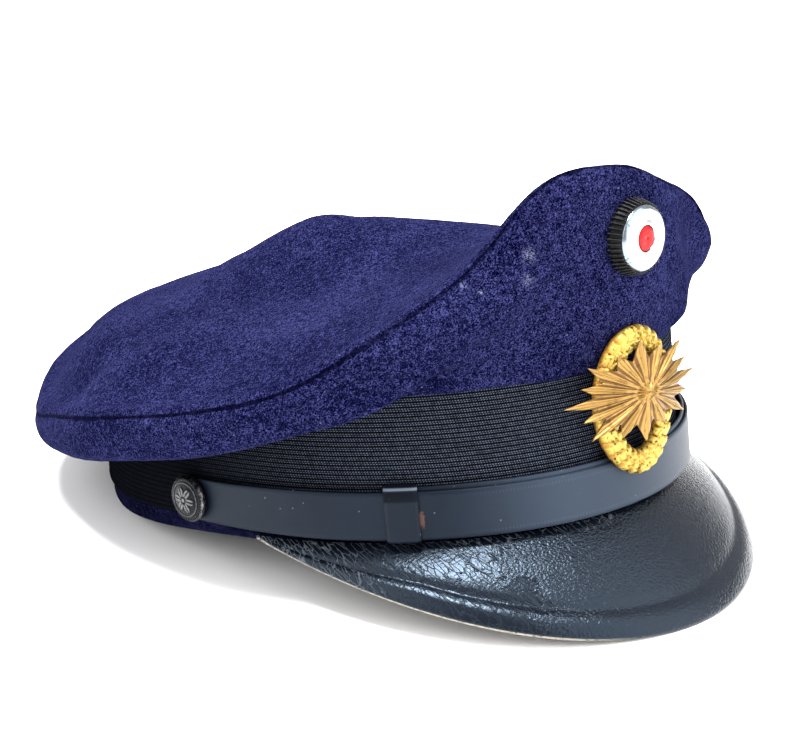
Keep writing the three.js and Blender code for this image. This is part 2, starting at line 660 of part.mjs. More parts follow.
// The rayed star that lies on the wreath: ridged rays round a plain boss
function badgeStar() {
  const back = WREATH_DEPTH * 1.1 + GAP;
  const onStar = (across, up, out) => onBadgeFace(STAR_ACROSS + across, STAR_UP + up, back + out);
  const rings = [
    { tip: 1, valley: 0.62, height: 0.9, dip: 0.1 },
    { tip: 0.6, valley: 0.48, height: 1.7, dip: 0.9 },
    { tip: 0.24, valley: 0.24, height: 2.2, dip: 2.2 },
    { tip: 0.17, valley: 0.17, height: 3.1, dip: 3.1 },
  ];
  const count = 2 * STAR_RAYS;
  const ringPoints = (share, out) => {
    const points = [];
    for (let i = 0; i < count; i++) {
      const turn = (i * TURN) / count;
      const onRay = i % 2 === 0;
      const minor = i % 4 === 2 ? 0.86 : 1;
      const reach = onRay ? share.tip * (share.tip === 1 ? minor : 1) : share.valley;
      const across = STAR_HALF_WIDTH * reach * Math.sin(turn);
      const up = STAR_HALF_HEIGHT * reach * Math.cos(turn);
      points.push(onStar(across, up, out(onRay)));
    }
    return points;
  };
  const backRings = rings.slice(0, 3);
  const points = [
    ...rings.flatMap((ring) => ringPoints(ring, (onRay) => (onRay ? ring.height : ring.dip))),
    ...backRings.flatMap((ring) => ringPoints(ring, () => 0)),
    onStar(0, 0, 3.6),
    onStar(0, 0, 0),
  ];
  const at = (ring, i) => ring * count + (i % count);
  const firstBack = rings.length;
  const lastBack = firstBack + backRings.length - 1;
  const front = (lastBack + 1) * count;
  const triangles = [];
  for (let i = 0; i < count; i++) {
    for (let ring = 0; ring + 1 < rings.length; ring++) {
      quad(triangles, at(ring, i), at(ring + 1, i), at(ring + 1, i + 1), at(ring, i + 1));
    }
    for (let ring = firstBack; ring < lastBack; ring++) {
      quad(triangles, at(ring, i), at(ring, i + 1), at(ring + 1, i + 1), at(ring + 1, i));
    }
    quad(triangles, at(firstBack, i), at(0, i), at(0, i + 1), at(firstBack, i + 1));
    triangles.push([at(rings.length - 1, i), front, at(rings.length - 1, i + 1)]);
    triangles.push([at(lastBack, i), at(lastBack, i + 1), front + 1]);
  }
  return solid("badge_star", points, triangles, BRONZE_GILT);
}

const cap = new THREE.Group();
cap.add(
  crownTop(),
  crownSide("crown_side_front", -45),
  crownSide("crown_side_right", 45),
  crownSide("crown_side_back", 135),
  crownSide("crown_side_left", 225),
  bandRing("wool_band", -MOHAIR_WALL - GAP, WOOL_WALL, 0, BAND_HEIGHT, FELT),
  bandRing("mohair_band", 0, MOHAIR_WALL, MOHAIR_START, BAND_HEIGHT, MOHAIR),
  peak(),
  strap("chin_strap_outer", 1, radians(KEEPER_LEFT_ANGLE), STRAP_OUTER_OUT, 0),
  strap("chin_strap_inner", -1, radians(KEEPER_ANGLE), STRAP_INNER_OUT, STRAP_INNER_RISE),
  keeper("keeper_right", radians(KEEPER_ANGLE)),
  keeper("keeper_left", -radians(KEEPER_LEFT_ANGLE)),
  button("button_right", 1),
  button("button_left", -1),
  badgeWreath(),
  badgeStar(),
);
const seat = cockadeSeat();
for (const piece of [cockadeRosette(), cockadeDisc(), cockadeCentre()]) {
  cap.add(setOn(piece, seat.place, seat.outward));
}

// Leans the cap back, and puts the middle of its footprint at the origin on the table
cap.rotation.x = -lean;
const whole = new THREE.Group();
whole.add(cap);
whole.updateMatrixWorld(true);
const box = new THREE.Box3().setFromObject(whole, true);
const footprint = box.getCenter(vector(0, 0, 0)).setZ(box.min.z);
cap.position.sub(footprint);

export default whole;
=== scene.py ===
"""A peaked uniform cap of dark blue felt, dressed over the frame of its plain solids."""

import math

import bmesh
import bpy
import numpy as np
from bpy.props import FloatProperty, FloatVectorProperty, PointerProperty
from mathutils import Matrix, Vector, noise
from mathutils.bvhtree import BVHTree


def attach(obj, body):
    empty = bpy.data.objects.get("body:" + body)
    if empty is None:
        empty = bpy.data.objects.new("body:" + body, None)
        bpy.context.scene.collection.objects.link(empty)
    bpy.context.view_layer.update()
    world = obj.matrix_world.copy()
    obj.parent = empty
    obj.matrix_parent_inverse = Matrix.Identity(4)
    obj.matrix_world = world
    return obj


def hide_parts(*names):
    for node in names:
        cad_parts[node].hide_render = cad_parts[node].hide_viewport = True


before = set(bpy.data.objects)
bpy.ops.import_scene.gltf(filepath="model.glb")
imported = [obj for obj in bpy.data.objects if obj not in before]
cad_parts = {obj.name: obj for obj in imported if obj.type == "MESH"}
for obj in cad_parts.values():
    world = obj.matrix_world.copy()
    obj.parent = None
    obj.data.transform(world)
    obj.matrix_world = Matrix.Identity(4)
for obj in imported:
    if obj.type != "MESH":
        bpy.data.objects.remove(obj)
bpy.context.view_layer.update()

bl_info = {
    "name": "Peaked cap",
    "version": (1, 0, 0),
    "blender": (4, 5, 0),
    "location": "View3D > Sidebar > Cap",
    "description": "Dresses a peaked felt cap with its band, strap, peak, cockade and badge",
    "category": "Add Mesh",
}

BODY = "root"
TURN = 2 * math.pi

# The head band, an oval given by its half axes at the face of the ribbed band, in metres
BAND_RIGHT = 0.084
BAND_LEFT = 0.0816
BAND_LENGTH = 0.103
BAND_RADIUS = (BAND_RIGHT + BAND_LENGTH) / 2
BAND_HEIGHT = 0.0465
MOHAIR_WALL = 0.0012
MOHAIR_START = 0.0056
BAND_STATIONS = 320
WOOL_WALL = 0.002
GAP = 0.0003

# The soft back of the band sags and spreads at its foot
SAG_DEPTH = 0.0036
SAG_SPREAD = 0.0032
SAG_START = math.radians(76)
SAG_FULL = math.radians(120)

# The cap leans back on the rear of its band and the tip of its peak
LEAN = math.radians(7.1)
BAND_MIDDLE = np.array([0.000178, 0.0014986, 0.01225])

# The peak
PEAK_WALL = 0.0022
PEAK_LENGTH = 0.0416
PEAK_HALF_SWEEP = math.radians(75.5)
PEAK_DROOP = math.radians(46.9)
PEAK_DROOP_EASE = math.radians(-11.6)
PEAK_PLAN_POWER = 1.94
PEAK_LENGTH_POWER = 1.09
PEAK_FORWARD_SHARE = 0.61
PEAK_ROOT_HEIGHT = 0.0015
PEAK_ROOT_OUT = -0.0002
PEAK_BULGE = 0.0016
PEAK_RIM_HEIGHT = 0.001
PEAK_GROOVE_IN = 0.0095
PEAK_GROOVE_DEPTH = 0.25
PEAK_FULL_LENGTH = 0.024
PEAK_SWEEP_END = 0.985
PEAK_STATIONS = 241
PEAK_STEPS = 56
PEAK_EDGE_STEPS = 7

# The chin strap and its fittings
STRAP_WIDTH = 0.0148
STRAP_WALL = 0.001
STRAP_EDGE = 0.00035
STRAP_STATIONS = 260
STRAP_STEPS = 13
STRAP_NARROWING = 0.0006
STRAP_NARROWING_START = math.radians(60)
STRAP_LOW = 0.0034
STRAP_BACK_RISE = 0.0014
STRAP_INNER_OUT = 0.0015
STRAP_INNER_RISE = 0.0012
STRAP_OUTER_OUT = 0.00275
STRAP_TAIL_PAST_KEEPER = math.radians(2.5)
SETTLE_START = math.radians(57)
SETTLE_FULL = math.radians(79)
BUTTON_ANGLE = math.radians(87.2)
KEEPER_RIGHT_ANGLE = math.radians(45.9)
KEEPER_LEFT_ANGLE = math.radians(62)
KEEPER_WIDTH = 0.0096
KEEPER_WALL = 0.001
KEEPER_EDGE = 0.0006
KEEPER_EDGE_ROUNDING = 0.0003
KEEPER_STEPS = 9
KEEPER_OUT = 0.00025
KEEPER_CORNER = 0.0006
KEEPER_BEND = 0.0008
KEEPER_BEND_START = 0.0036
WORN_PLACE = (0.0695, -0.0012)
WORN_SIZE = (0.0008, 0.0027)
BUTTON_RADIUS = 0.0072
BUTTON_SIDES = 192
BUTTON_TOP = 0.0034
BUTTON_DOME = 0.0013
BUTTON_EDGE = 0.0004
BUTTON_RELIEF = 0.00032
BUTTON_MILLING = 0.0003
BUTTON_TEETH = 48
BUTTON_PETALS = 6

# The side panel's quarters, which are drawn together, and how a node's mesh is made smooth
QUARTER = math.pi / 2
END_SPAN = 0.011
END_REACH = 0.0009
SAME_POINT = 2e-6
SMOOTHING_ROUNDS = 4

# The seam between the crown's panels: a groove, and the panels rolled up beside it
SEAM_REACH = 0.008
SEAM_DEPTH = 0.0003
SEAM_HALF_WIDTH = 0.0008
SEAM_ROLL = 0.0003
SEAM_ROLL_AWAY = 0.0034
SEAM_ROLL_HALF_WIDTH = 0.0017

# Folds of the felt: how far it stands out, half the width, and the points that the fold runs through
TOP_FOLDS = (
    (0.0008, 0.007,
     (-0.072, 0.08, 0.048), (-0.07, 0.046, 0.062), (-0.048, 0.055, 0.064), (-0.02, 0.063, 0.07)),
    (-0.0012, 0.008, (-0.09, 0.05, 0.048), (-0.081, 0.044, 0.057)),
    (0.001, 0.005, (-0.096, 0.025, 0.054), (-0.089, 0.024, 0.058), (-0.078, 0.024, 0.064)),
    (0.0008, 0.006, (-0.068, -0.02, 0.075), (-0.061, -0.048, 0.085), (-0.055, -0.064, 0.094)),
)
SIDE_FOLDS = (
    (-0.002, 0.005,
     (-0.082, -0.07, 0.073), (-0.063, -0.082, 0.08), (-0.045, -0.087, 0.083), (-0.03, -0.093, 0.092)),
    (0.0009, 0.005, (-0.07, -0.08, 0.09), (-0.05, -0.087, 0.095), (-0.035, -0.093, 0.103)),
    (-0.0016, 0.004, (0.042, -0.086, 0.085), (0.026, -0.094, 0.094), (0.023, -0.094, 0.103)),
    (-0.0011, 0.003, (0.0, -0.098, 0.086), (-0.003, -0.098, 0.093), (-0.003, -0.098, 0.1)),
    (-0.0011, 0.003, (0.038, -0.086, 0.073), (0.023, -0.093, 0.078), (0.012, -0.097, 0.084)),
)

# Chalky spots worn by rubbing on the front of the crown: where, and how large
RUBBED_SPOTS = (
    ((-0.035, -0.093, 0.111), 0.0034),
    ((-0.036, -0.093, 0.104), 0.003),
    ((-0.049, -0.088, 0.102), 0.0015),
    ((-0.053, -0.085, 0.104), 0.0015),
)

# The badge and the cockade
COCKADE_FINS = 44
COCKADE_FIN_DEPTH = 0.0009
COCKADE_RADIUS = 0.0117
COCKADE_TAPER = 0.29
COCKADE_HOLE = 0.0101
COCKADE_HEIGHT = 0.0041
BADGE_HEIGHT = 0.0358
BADGE_FACE = 0.1072
BADGE_ACROSS = 0.002
BADGE_OUT = 0.004
WREATH_HALF_WIDTH = 0.0127
WREATH_HALF_HEIGHT = 0.0188
WREATH_HALF_TUBE = 0.0036
WREATH_DEPTH = 0.0044
WREATH_LEAVES = 14
WREATH_SIDES = 600
STAR_RAYS = 16
STAR_SHORT_RAY = 0.86
STAR_VALLEY = 0.62
STAR_EDGE = 0.0009
STAR_RELIEF = 0.001
STAR_HALF_WIDTH = 0.028
STAR_HALF_HEIGHT = 0.0155
STAR_ACROSS = -0.0015
STAR_UP = 0.0035

# The camera, fitted to the photograph's 800 by 756 frame
CAMERA_PLACE = (-0.485574, -0.524664, 0.296027)
CAMERA_AZIMUTH = math.radians(-42.908)
CAMERA_ELEVATION = math.radians(19.582)
CAMERA_LENS = 104.327
CAMERA_SENSOR = 36

# Where each light stands, and how wide the first two are seen and how large the third is
OVERHEAD_PLACE = (-0.16, 0.0, 0.98)
OVERHEAD_SPREAD = math.radians(22)
LEFT_PLACE = (-0.85, 0.1, 0.5)
LEFT_SPREAD = math.radians(50)
FRONT_PLACE = (0.35, -1.25, 0.75)
FRONT_SIZE = 2.0
FLOOR_HALF = 6


def colour_setting(name, description, *default):
    return FloatVectorProperty(
        name=name, description=description, subtype="COLOR", size=3, default=default, min=0, max=1)


def length_setting(name, description, default, smallest, largest):
    return FloatProperty(
        name=name, description=description, subtype="DISTANCE", default=default,
        min=smallest, max=largest)


def light_setting(name, description, default, largest, unit="NONE"):
    return FloatProperty(
        name=name, description=description, subtype=unit, unit=unit, default=default,
        min=0, max=largest)


class FeltSettings(bpy.types.PropertyGroup):
    """The felt of the crown and of the head band."""

    deep: colour_setting("Deep blue", "Colour in the hollows of the nap", 0.0003, 0.0005, 0.0075)
    light: colour_setting("Light blue", "Colour of the raised nap", 0.0325, 0.0345, 0.112)
    nap: length_setting("Nap depth", "Depth of the felt's short nap", 0.00014, 0, 0.002)
    unevenness: length_setting(
        "Unevenness", "How far the soft crown wanders from a smooth form", 0.0005, 0, 0.004)


class BandSettings(bpy.types.PropertyGroup):
    """The ribbed black band."""

    colour: colour_setting("Colour", "Colour of the ribs", 0.0012, 0.0014, 0.002)
    pitch: length_setting("Rib pitch", "Distance from one rib to the next", 0.00144, 0.0004, 0.003)
    depth: length_setting("Rib depth", "How far a rib stands out of its grooves", 0.00032, 0, 0.001)


class LeatherSettings(bpy.types.PropertyGroup):
    """The lacquered peak and the leather strap."""

    lacquer: colour_setting("Lacquer", "Colour of the peak's lacquer", 0.0015, 0.0022, 0.0045)
    crackle: length_setting(
        "Crackle size", "Distance across one plate of the crackled lacquer", 0.0026, 0.0005, 0.01)
    strap: colour_setting("Strap", "Colour of the strap's leather", 0.0012, 0.0019, 0.0046)


class MetalSettings(bpy.types.PropertyGroup):
    """The badge, the cockade and the buttons."""

    gilt: colour_setting("Yellow gilt", "Colour of the wreath", 0.43, 0.29, 0.05)
    bronze: colour_setting("Bronze gilt", "Colour of the star", 0.27, 0.16, 0.042)
    silver: colour_setting("Pale metal", "Colour of the cockade's disc", 0.46, 0.46, 0.455)
    red: colour_setting("Red enamel", "Colour of the cockade's middle", 0.3, 0.004, 0.006)
    black: colour_setting("Blackened metal", "Colour of the buttons", 0.007, 0.0078, 0.0095)


class StageSettings(bpy.types.PropertyGroup):
    """The floor and the light."""

    floor: colour_setting("Floor", "Colour of the floor", 0.95, 0.95, 0.95)
    sky: light_setting("Sky", "Strength of the light from all round", 1.05, 5)
    overhead: light_setting("Overhead light", "Strength of the soft light overhead", 9.4, 50)
    left: light_setting("Left light", "Strength of the wide light on the picture's left", 1.3, 50)
    front: light_setting(
        "Front light", "Power of the soft light in front of the cap", 42, 500, "POWER")


class Term:
    """A number or a vector in a material's nodes. Sums written with it add the nodes they need."""

    def __init__(self, finish, socket):
        self.finish = finish
        self.socket = socket

    def joined(self, operation, left, right):
        kinds = {term.socket.type for term in (left, right) if isinstance(term, Term)}
        kind = "ShaderNodeMath" if kinds == {"VALUE"} else "ShaderNodeVectorMath"
        return self.finish.node(kind, {"operation": operation}, {0: left, 1: right})

    def __add__(self, other):
        return self.joined("ADD", self, other)

    def __radd__(self, other):
        return self.joined("ADD", other, self)

    def __sub__(self, other):
        return self.joined("SUBTRACT", self, other)

    def __rsub__(self, other):
        return self.joined("SUBTRACT", other, self)

    def __mul__(self, other):
        return self.joined("MULTIPLY", self, other)

    def __rmul__(self, other):
        return self.joined("MULTIPLY", other, self)

    def __abs__(self):
        return self.finish.math("ABSOLUTE", self)

    def between(self, low, high):
        """0 at low and 1 at high, smoothly, and the other way round if low is the larger."""
        ends = {0: self, 1: min(low, high), 2: max(low, high)}
        share = self.finish.node("ShaderNodeMapRange", {"interpolation_type": "SMOOTHSTEP"}, ends)
        return share if low < high else 1 - share


class Finish:
    """A material in the making: its surface shader, and a way to add any node."""

    def __init__(self, name, **surface):
        self.material = bpy.data.materials.new(name)
        self.material.use_nodes = True
        self.tree = self.material.node_tree
        self.shader = self.tree.nodes["Principled BSDF"]
        self.set(**surface)

    def set(self, **surface):
        """Sets or links the surface shader's sockets, named with _ for each space."""
        for name, value in surface.items():
            self.feed(self.shader.inputs[name.replace("_", " ")], value)

    def feed(self, socket, value):
        if isinstance(value, Term):
            self.tree.links.new(value.socket, socket)
        elif socket.type == "RGBA":
            socket.default_value = (*value, 1)
        else:
            socket.default_value = value

    def node(self, kind, settings=None, inputs=None, output=0):
        """Adds a node: its settings first, then the values or links of its sockets."""
        made = self.tree.nodes.new(kind)
        for name, value in (settings or {}).items():
            setattr(made, name, value)
        for key, value in (inputs or {}).items():
            self.feed(made.inputs[key], value)
        return Term(self, made.outputs[output])

    def spot(self):
        """Where a point is on the cap, in metres."""
        return self.node("ShaderNodeTexCoord", output="Object")

    def place(self):
        """Where a point is on its own piece: along it, across it, and the side it is on."""
        return self.node("ShaderNodeAttribute", {"attribute_name": "place"}, output="Vector")

    def parts(self, vector):
        made = self.node("ShaderNodeSeparateXYZ", inputs={0: vector}).socket.node
        return [Term(self, socket) for socket in made.outputs]

    def vector(self, x, y, z=0.0):
        return self.node("ShaderNodeCombineXYZ", inputs={0: x, 1: y, 2: z})

    def noise(self, spot, size, detail=2.0, roughness=0.5, distortion=0.0):
        """Smooth noise whose lumps have about the given size in metres."""
        inputs = {"Vector": spot, "Scale": 1 / size, "Detail": detail, "Roughness": roughness,
                  "Distortion": distortion}
        return self.node("ShaderNodeTexNoise", inputs=inputs)

    def cells(self, spot, size, feature="F1"):
        """How far a point is from the middle or the edge of a cell of the given size."""
        inputs = {"Vector": spot, "Scale": 1 / size}
        return self.node("ShaderNodeTexVoronoi", {"feature": feature}, inputs)

    def math(self, operation, *values):
        return self.node("ShaderNodeMath", {"operation": operation}, dict(enumerate(values)))

    def mix(self, share, first, second):
        settings = {"data_type": "RGBA"}
        return self.node("ShaderNodeMix", settings, {0: share, 6: first, 7: second}, 2)

    def bump(self, height, depth, under=None):
        """A normal from a height of 0 to 1, which stands for a depth in metres."""
        inputs = {"Height": height, "Distance": depth}
        if under is not None:
            inputs["Normal"] = under
        return self.node("ShaderNodeBump", inputs=inputs)


def toned(colour, tone):
    """A colour made lighter or darker."""
    return tuple(min(1, tone * channel) for channel in colour)


def smoothstep(value, low, high):
    share = np.clip((value - low) / (high - low), 0, 1)
    return share * share * (3 - 2 * share)


def hump(value, middle, reach):
    """1 at the middle, and down to nothing on both sides of it."""
    return np.exp(-((value - middle) / reach) ** 2)


def all_round(count):
    """Even angles round a ring, one for each of its stations."""
    return np.linspace(0, TURN, count, endpoint=False)[:, None]


def points_of(x, y, z):
    return np.stack(np.broadcast_arrays(x, y, z), axis=-1)


def unit(vectors):
    return vectors / np.linalg.norm(vectors, axis=-1, keepdims=True)


def half_width(angle):
    return np.where(np.sin(angle) < 0, BAND_LEFT, BAND_RIGHT)


def on_oval(angle, growth, height):
    """Points on the band's oval, grown outward. The angle runs from the front to the right."""
    x = -(half_width(angle) + growth) * np.sin(angle)
    y = -(BAND_LENGTH + growth) * np.cos(angle)
    return points_of(x, y, height)


def oval_normal(angle):
    return unit(points_of(-np.sin(angle) / half_width(angle), -np.cos(angle) / BAND_LENGTH, 0))


def on_band(angle, growth, height):
    """Points on the band, whose foot spreads and sinks towards the back."""
    backward = math.pi - np.abs(math.pi - np.mod(angle, TURN))
    sag = smoothstep(backward, SAG_START, SAG_FULL) * (1 - height / BAND_HEIGHT)
    return on_oval(angle, growth + SAG_SPREAD * sag, height - SAG_DEPTH * sag)


def leant(points):
    """Takes points from the upright band to the cap as it stands, never below the table."""
    x, y, z = np.moveaxis(points, -1, 0)
    placed = points_of(
        x, y * math.cos(LEAN) + z * math.sin(LEAN), z * math.cos(LEAN) - y * math.sin(LEAN))
    placed += BAND_MIDDLE
    placed[..., 2] = np.maximum(placed[..., 2], 0)
    return placed


def upright(point):
    """Takes a point of the cap as it stands back to the upright band."""
    x, y, z = np.asarray(point, float) - BAND_MIDDLE
    return x, y * math.cos(LEAN) - z * math.sin(LEAN), y * math.sin(LEAN) + z * math.cos(LEAN)


def linked(name, data):
    made = bpy.data.objects.new(name, data)
    bpy.context.scene.collection.objects.link(made)
    return made


def dressed(piece, nodes, material):
    """Gives a piece its finish, and lets it ride in the place of one node or more."""
    piece.data.materials.append(material)
    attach(piece, BODY)
    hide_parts(*nodes)
    return piece


def node_of(name):
    """The node that a piece stands for: its name without the last word, which is its finish."""
    return name.rsplit("_", 1)[0]


def loft(name, outlines, place, slot, material, round_trip):
    """A smooth piece through closed outlines: an array of stations, points and coordinates.

    It is capped at both ends unless the stations go round. Place is kept for its finish.
    """
    rows = np.arange(outlines[..., 0].size).reshape(outlines.shape[:2])
    here = rows if round_trip else rows[:-1]
    there = np.roll(rows, -1, axis=0)[:len(here)]
    faces = np.stack([here, there, np.roll(there, -1, axis=1), np.roll(here, -1, axis=1)], axis=-1)
    faces = faces.reshape(-1, 4).tolist()
    if not round_trip:
        faces += [rows[0].tolist(), rows[-1, ::-1].tolist()]
    mesh = bpy.data.meshes.new(name)
    mesh.from_pydata(outlines.reshape(-1, 3).tolist(), [], faces)
    mesh.validate()
    edit = bmesh.new()
    edit.from_mesh(mesh)
    bmesh.ops.recalc_face_normals(edit, faces=edit.faces)
    edit.to_mesh(mesh)
    edit.free()
    mesh.shade_smooth()
    attribute = mesh.attributes.new("place", "FLOAT_VECTOR", "POINT")
    attribute.data.foreach_set("vector", place.astype(np.float32).reshape(-1))
    return dressed(linked(name, mesh), [node_of(name)], material)


def coordinates(mesh, layer="vertices", field="co"):
    values = np.empty(len(getattr(mesh, layer)) * 3, np.float32)
    getattr(mesh, layer).foreach_get(field, values)
    return values.reshape(-1, 3).astype(float)


def set_coordinates(mesh, points):
    mesh.vertices.foreach_set("co", np.asarray(points, np.float32).reshape(-1))
    mesh.update()


def subdivided(piece, levels):
    """The mesh of a piece after smooth subdivision."""
    finer = piece.modifiers.new("finer", "SUBSURF")
    finer.levels = levels
    graph = bpy.context.evaluated_depsgraph_get()
    fine = bpy.data.meshes.new_from_object(piece.evaluated_get(graph))
    piece.modifiers.clear()
    return fine


def made_finer(piece, levels):
    """Subdivides a piece so that its smooth surface still goes through its points."""
    wanted = coordinates(piece.data)
    handles = wanted.copy()
    for _ in range(SMOOTHING_ROUNDS):
        trial = subdivided(piece, 1)
        handles += wanted - coordinates(trial)[:len(wanted)]
        bpy.data.meshes.remove(trial)
        set_coordinates(piece.data, handles)
    piece.data = subdivided(piece, levels)
    piece.data.shade_smooth()


def ends_joined(edit):
    """Joins the quarters of a ring: takes the faces at their ends away and draws the ends together."""
    at_ends = set()
    for vertex in edit.verts:
        x, y, _ = upright(vertex.co)
        turn = math.atan2(-x, -y) / QUARTER
        if abs(abs(turn - round(turn)) - 0.5) < END_SPAN:
            at_ends.add(vertex)
    caps = [face for face in edit.faces if at_ends.issuperset(face.verts)]
    bmesh.ops.delete(edit, geom=caps, context="FACES_KEEP_BOUNDARY")
    left = [vertex for vertex in edit.verts if vertex in at_ends]
    bmesh.ops.remove_doubles(edit, verts=left, dist=END_REACH)


def worked_copy(name, nodes, material, levels):
    """A finer, smooth copy of a node, or of nodes that make a ring, with its faces joined to fours."""
    edit = bmesh.new()
    for node in nodes:
        edit.from_mesh(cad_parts[node].data)
    bmesh.ops.remove_doubles(edit, verts=edit.verts, dist=SAME_POINT)
    bmesh.ops.join_triangles(
        edit, faces=edit.faces, angle_face_threshold=math.pi, angle_shape_threshold=math.pi)
    if len(nodes) > 1:
        ends_joined(edit)
    mesh = bpy.data.meshes.new(name)
    edit.to_mesh(mesh)
    edit.free()
    piece = linked(name, mesh)
    made_finer(piece, levels)
    return dressed(piece, nodes, material)


def pushed_out(piece, outward, distances):
    """Moves both faces of a thin wall along their normals, out from the cap, by the given distances."""
    normals = coordinates(piece.data, "vertex_normals", "vector")
    faces_out = np.clip(3 * (normals * outward).sum(axis=1), -1, 1)
    set_coordinates(piece.data, coordinates(piece.data) + normals * (faces_out * distances)[:, None])


def surface_of(piece):
    corners = [vertex.co for vertex in piece.data.vertices]
    return BVHTree.FromPolygons(corners, [face.vertices for face in piece.data.polygons])


def seam_distances(piece, other):
    """How far each point of a panel is from the panel that it is sewn to, up to the seam's reach."""
    found = [other.find_nearest(vertex.co, SEAM_REACH)[3] for vertex in piece.data.vertices]
    return np.array([SEAM_REACH if distance is None else distance for distance in found])


def seam_relief(distances):
    groove = SEAM_DEPTH * hump(distances, 0, SEAM_HALF_WIDTH)
    return SEAM_ROLL * hump(distances, SEAM_ROLL_AWAY, SEAM_ROLL_HALF_WIDTH) - groove


def fold_relief(points, folds):
    """How far the folds lift or sink each point."""
    relief = np.zeros(len(points))
    for stands_out, half, *corners in folds:
        nearest = np.full(len(points), np.inf)
        for start, end in zip(np.array(corners[:-1]), np.array(corners[1:])):
            way = end - start
            share = np.clip((points - start) @ way / (way @ way), 0, 1)
            gaps = np.linalg.norm(points - start - share[:, None] * way, axis=1)
            nearest = np.minimum(nearest, gaps)
        relief += stands_out * hump(nearest, 0, half)
    return relief


def felt(name, tone=1.0):
    """Wool felt: a short clumped nap, a dark line of painted shade in the seam, pale lint and chalky
    spots worn by rubbing.
    """
    look = bpy.context.scene.cap_felt
    finish = Finish(name, Roughness=1.0, Sheen_Weight=0.035 * tone, Sheen_Roughness=0.3,
                    Sheen_Tint=(0.36, 0.38, 1.0), Specular_IOR_Level=0.0)
    spot = finish.spot()
    clumps = finish.noise(spot, 0.0018, 2, 0.6)
    fibres = finish.noise(spot, 0.00045, 2, 0.7, 1.2)
    broad = finish.noise(spot, 0.03, 3, 0.55)
    nap = clumps * 0.2 + fibres * 0.8
    shade = (nap + (broad - 0.5) * 0.12).between(0.46, 0.66)
    # A tone below 1 makes a darker copy of the felt: painted shade, as on the head band near the floor.
    colour = finish.mix(shade, toned(look.deep, tone), toned(look.light, tone))
    lint_cells = finish.cells(spot + finish.vector(fibres * 0.002, 0.0), 0.005)
    lint = lint_cells.between(0.07, 0.03) * clumps.between(0.45, 0.6)
    for centre, reach in RUBBED_SPOTS:
        away = finish.node("ShaderNodeVectorMath", {"operation": "DISTANCE"}, {0: spot, 1: centre}, 1)
        lint = lint + away.between(reach, 0.0) * nap.between(0.45, 0.62)
    colour = finish.mix(lint * 0.5, colour, (0.16, 0.175, 0.28))
    # Painted shade: the felt is darkened along the seam's groove, besides the groove's sinking and
    # bump.
    nearness = finish.node("ShaderNodeAttribute", {"attribute_name": "seam"}, output="Fac")
    ragged = nearness + (fibres - 0.5) * 0.04
    groove = ragged.between(1 - 0.00055 / SEAM_REACH, 1 - 0.0001 / SEAM_REACH)
    colour = finish.mix(groove * 0.8, colour, toned(look.deep, 0.4))
    normal = finish.bump(1 - groove, 0.0005, finish.bump(nap, look.nap))
    finish.set(Base_Color=colour, Normal=normal)
    return finish.material


def mohair():
    """The ribbed band's finish: ribs of dull black braid, each with two rows of slanting stitches,
    darkened towards the back by painted shade.
    """
    look = bpy.context.scene.cap_band
    finish = Finish("mohair", Roughness=1.0, Specular_IOR_Level=0.0)
    along, height, _ = finish.parts(finish.place())
    row = (height - MOHAIR_START) * (2 / look.pitch)
    crest = abs(finish.math("SINE", row * math.pi))
    rib = abs(finish.math("SINE", row * (math.pi / 2)))
    stagger = finish.math("FLOOR", row) * 0.5
    stitches = finish.math("SINE", (along * (1 / 0.00085) + stagger + row * 0.3) * TURN)
    wear = finish.noise(finish.spot(), 0.0012, 2)
    dots = (0.12 + 0.88 * stitches.between(-0.4, 0.8)) * crest.between(0.35, 0.9)
    dots = dots * rib.between(0.35, 0.95) * (0.55 + 0.6 * wear.between(0.35, 0.6))
    # Painted shade: the stitches darken towards the back of the band, under the crown's overhang.
    forward = finish.parts(finish.spot())[1]
    painted_light_to_front = 0.1 + 0.9 * forward.between(0.01, -0.07)
    colour = finish.mix(dots * painted_light_to_front, look.colour, toned(look.colour, 72))
    finish.set(Base_Color=colour, Normal=finish.bump(dots, 0.00012))
    return finish.material


def lacquer():
    """The peak's black lacquer: glossy, finely grained, crackled by the strap, pale where it is cut."""
    look = bpy.context.scene.cap_leather
    finish = Finish("lacquer", Specular_IOR_Level=0.28, Specular_Tint=(0.58, 0.77, 1.0))
    spot = finish.spot()
    along, inset, side = finish.parts(finish.place())
    grain = finish.noise(spot, 0.0008, 2, 0.5)
    broad = finish.noise(spot, 0.012, 3)
    bend = finish.noise(spot, 0.003, 2)
    leaning = along * 1.25 - inset * 0.35
    skewed = finish.vector(leaning + bend * 0.003, inset * 0.75 + bend * 0.003)
    edges = finish.cells(skewed, look.crackle, "DISTANCE_TO_EDGE")
    near_strap = inset.between(0.033, 0.039) * along.between(-0.015, 0.02)
    to_left = (along + (broad - 0.5) * 0.06).between(0.018, 0.07)
    aged = finish.math("MAXIMUM", to_left, near_strap)
    open_cracks = (broad * 0.7 + aged).between(0.75, 1.05)
    crack = (edges + near_strap * 0.015).between(0.07, 0.02) * open_cracks
    cut = side.between(0.15, 0.19) * along.between(0.02, 0.05)
    cut = cut * grain.between(0.3, 0.45)
    underside = finish.math("MAXIMUM", side.between(0.36, 0.46), cut)
    # Crack lines are paler near the strap and at the left end: partly the cracks' own colour and partly
    # painted glint off their ridges.
    by_strap = inset.between(0.024, 0.034)
    paled_and_glinting = finish.math("MAXIMUM", by_strap, along.between(0.08, 0.1))
    colour = finish.mix(crack * paled_and_glinting * 0.4, look.lacquer, (0.12, 0.14, 0.165))
    colour = finish.mix(underside, colour, (0.24, 0.215, 0.175))
    roughness = 0.19 + grain * 0.1 + crack * 0.15 + underside * 0.5
    normal = finish.bump(grain * (1 - open_cracks * 0.65), 0.0003, finish.bump(1 - crack, 0.0006))
    finish.set(Base_Color=colour, Roughness=roughness, Normal=normal)
    return finish.material


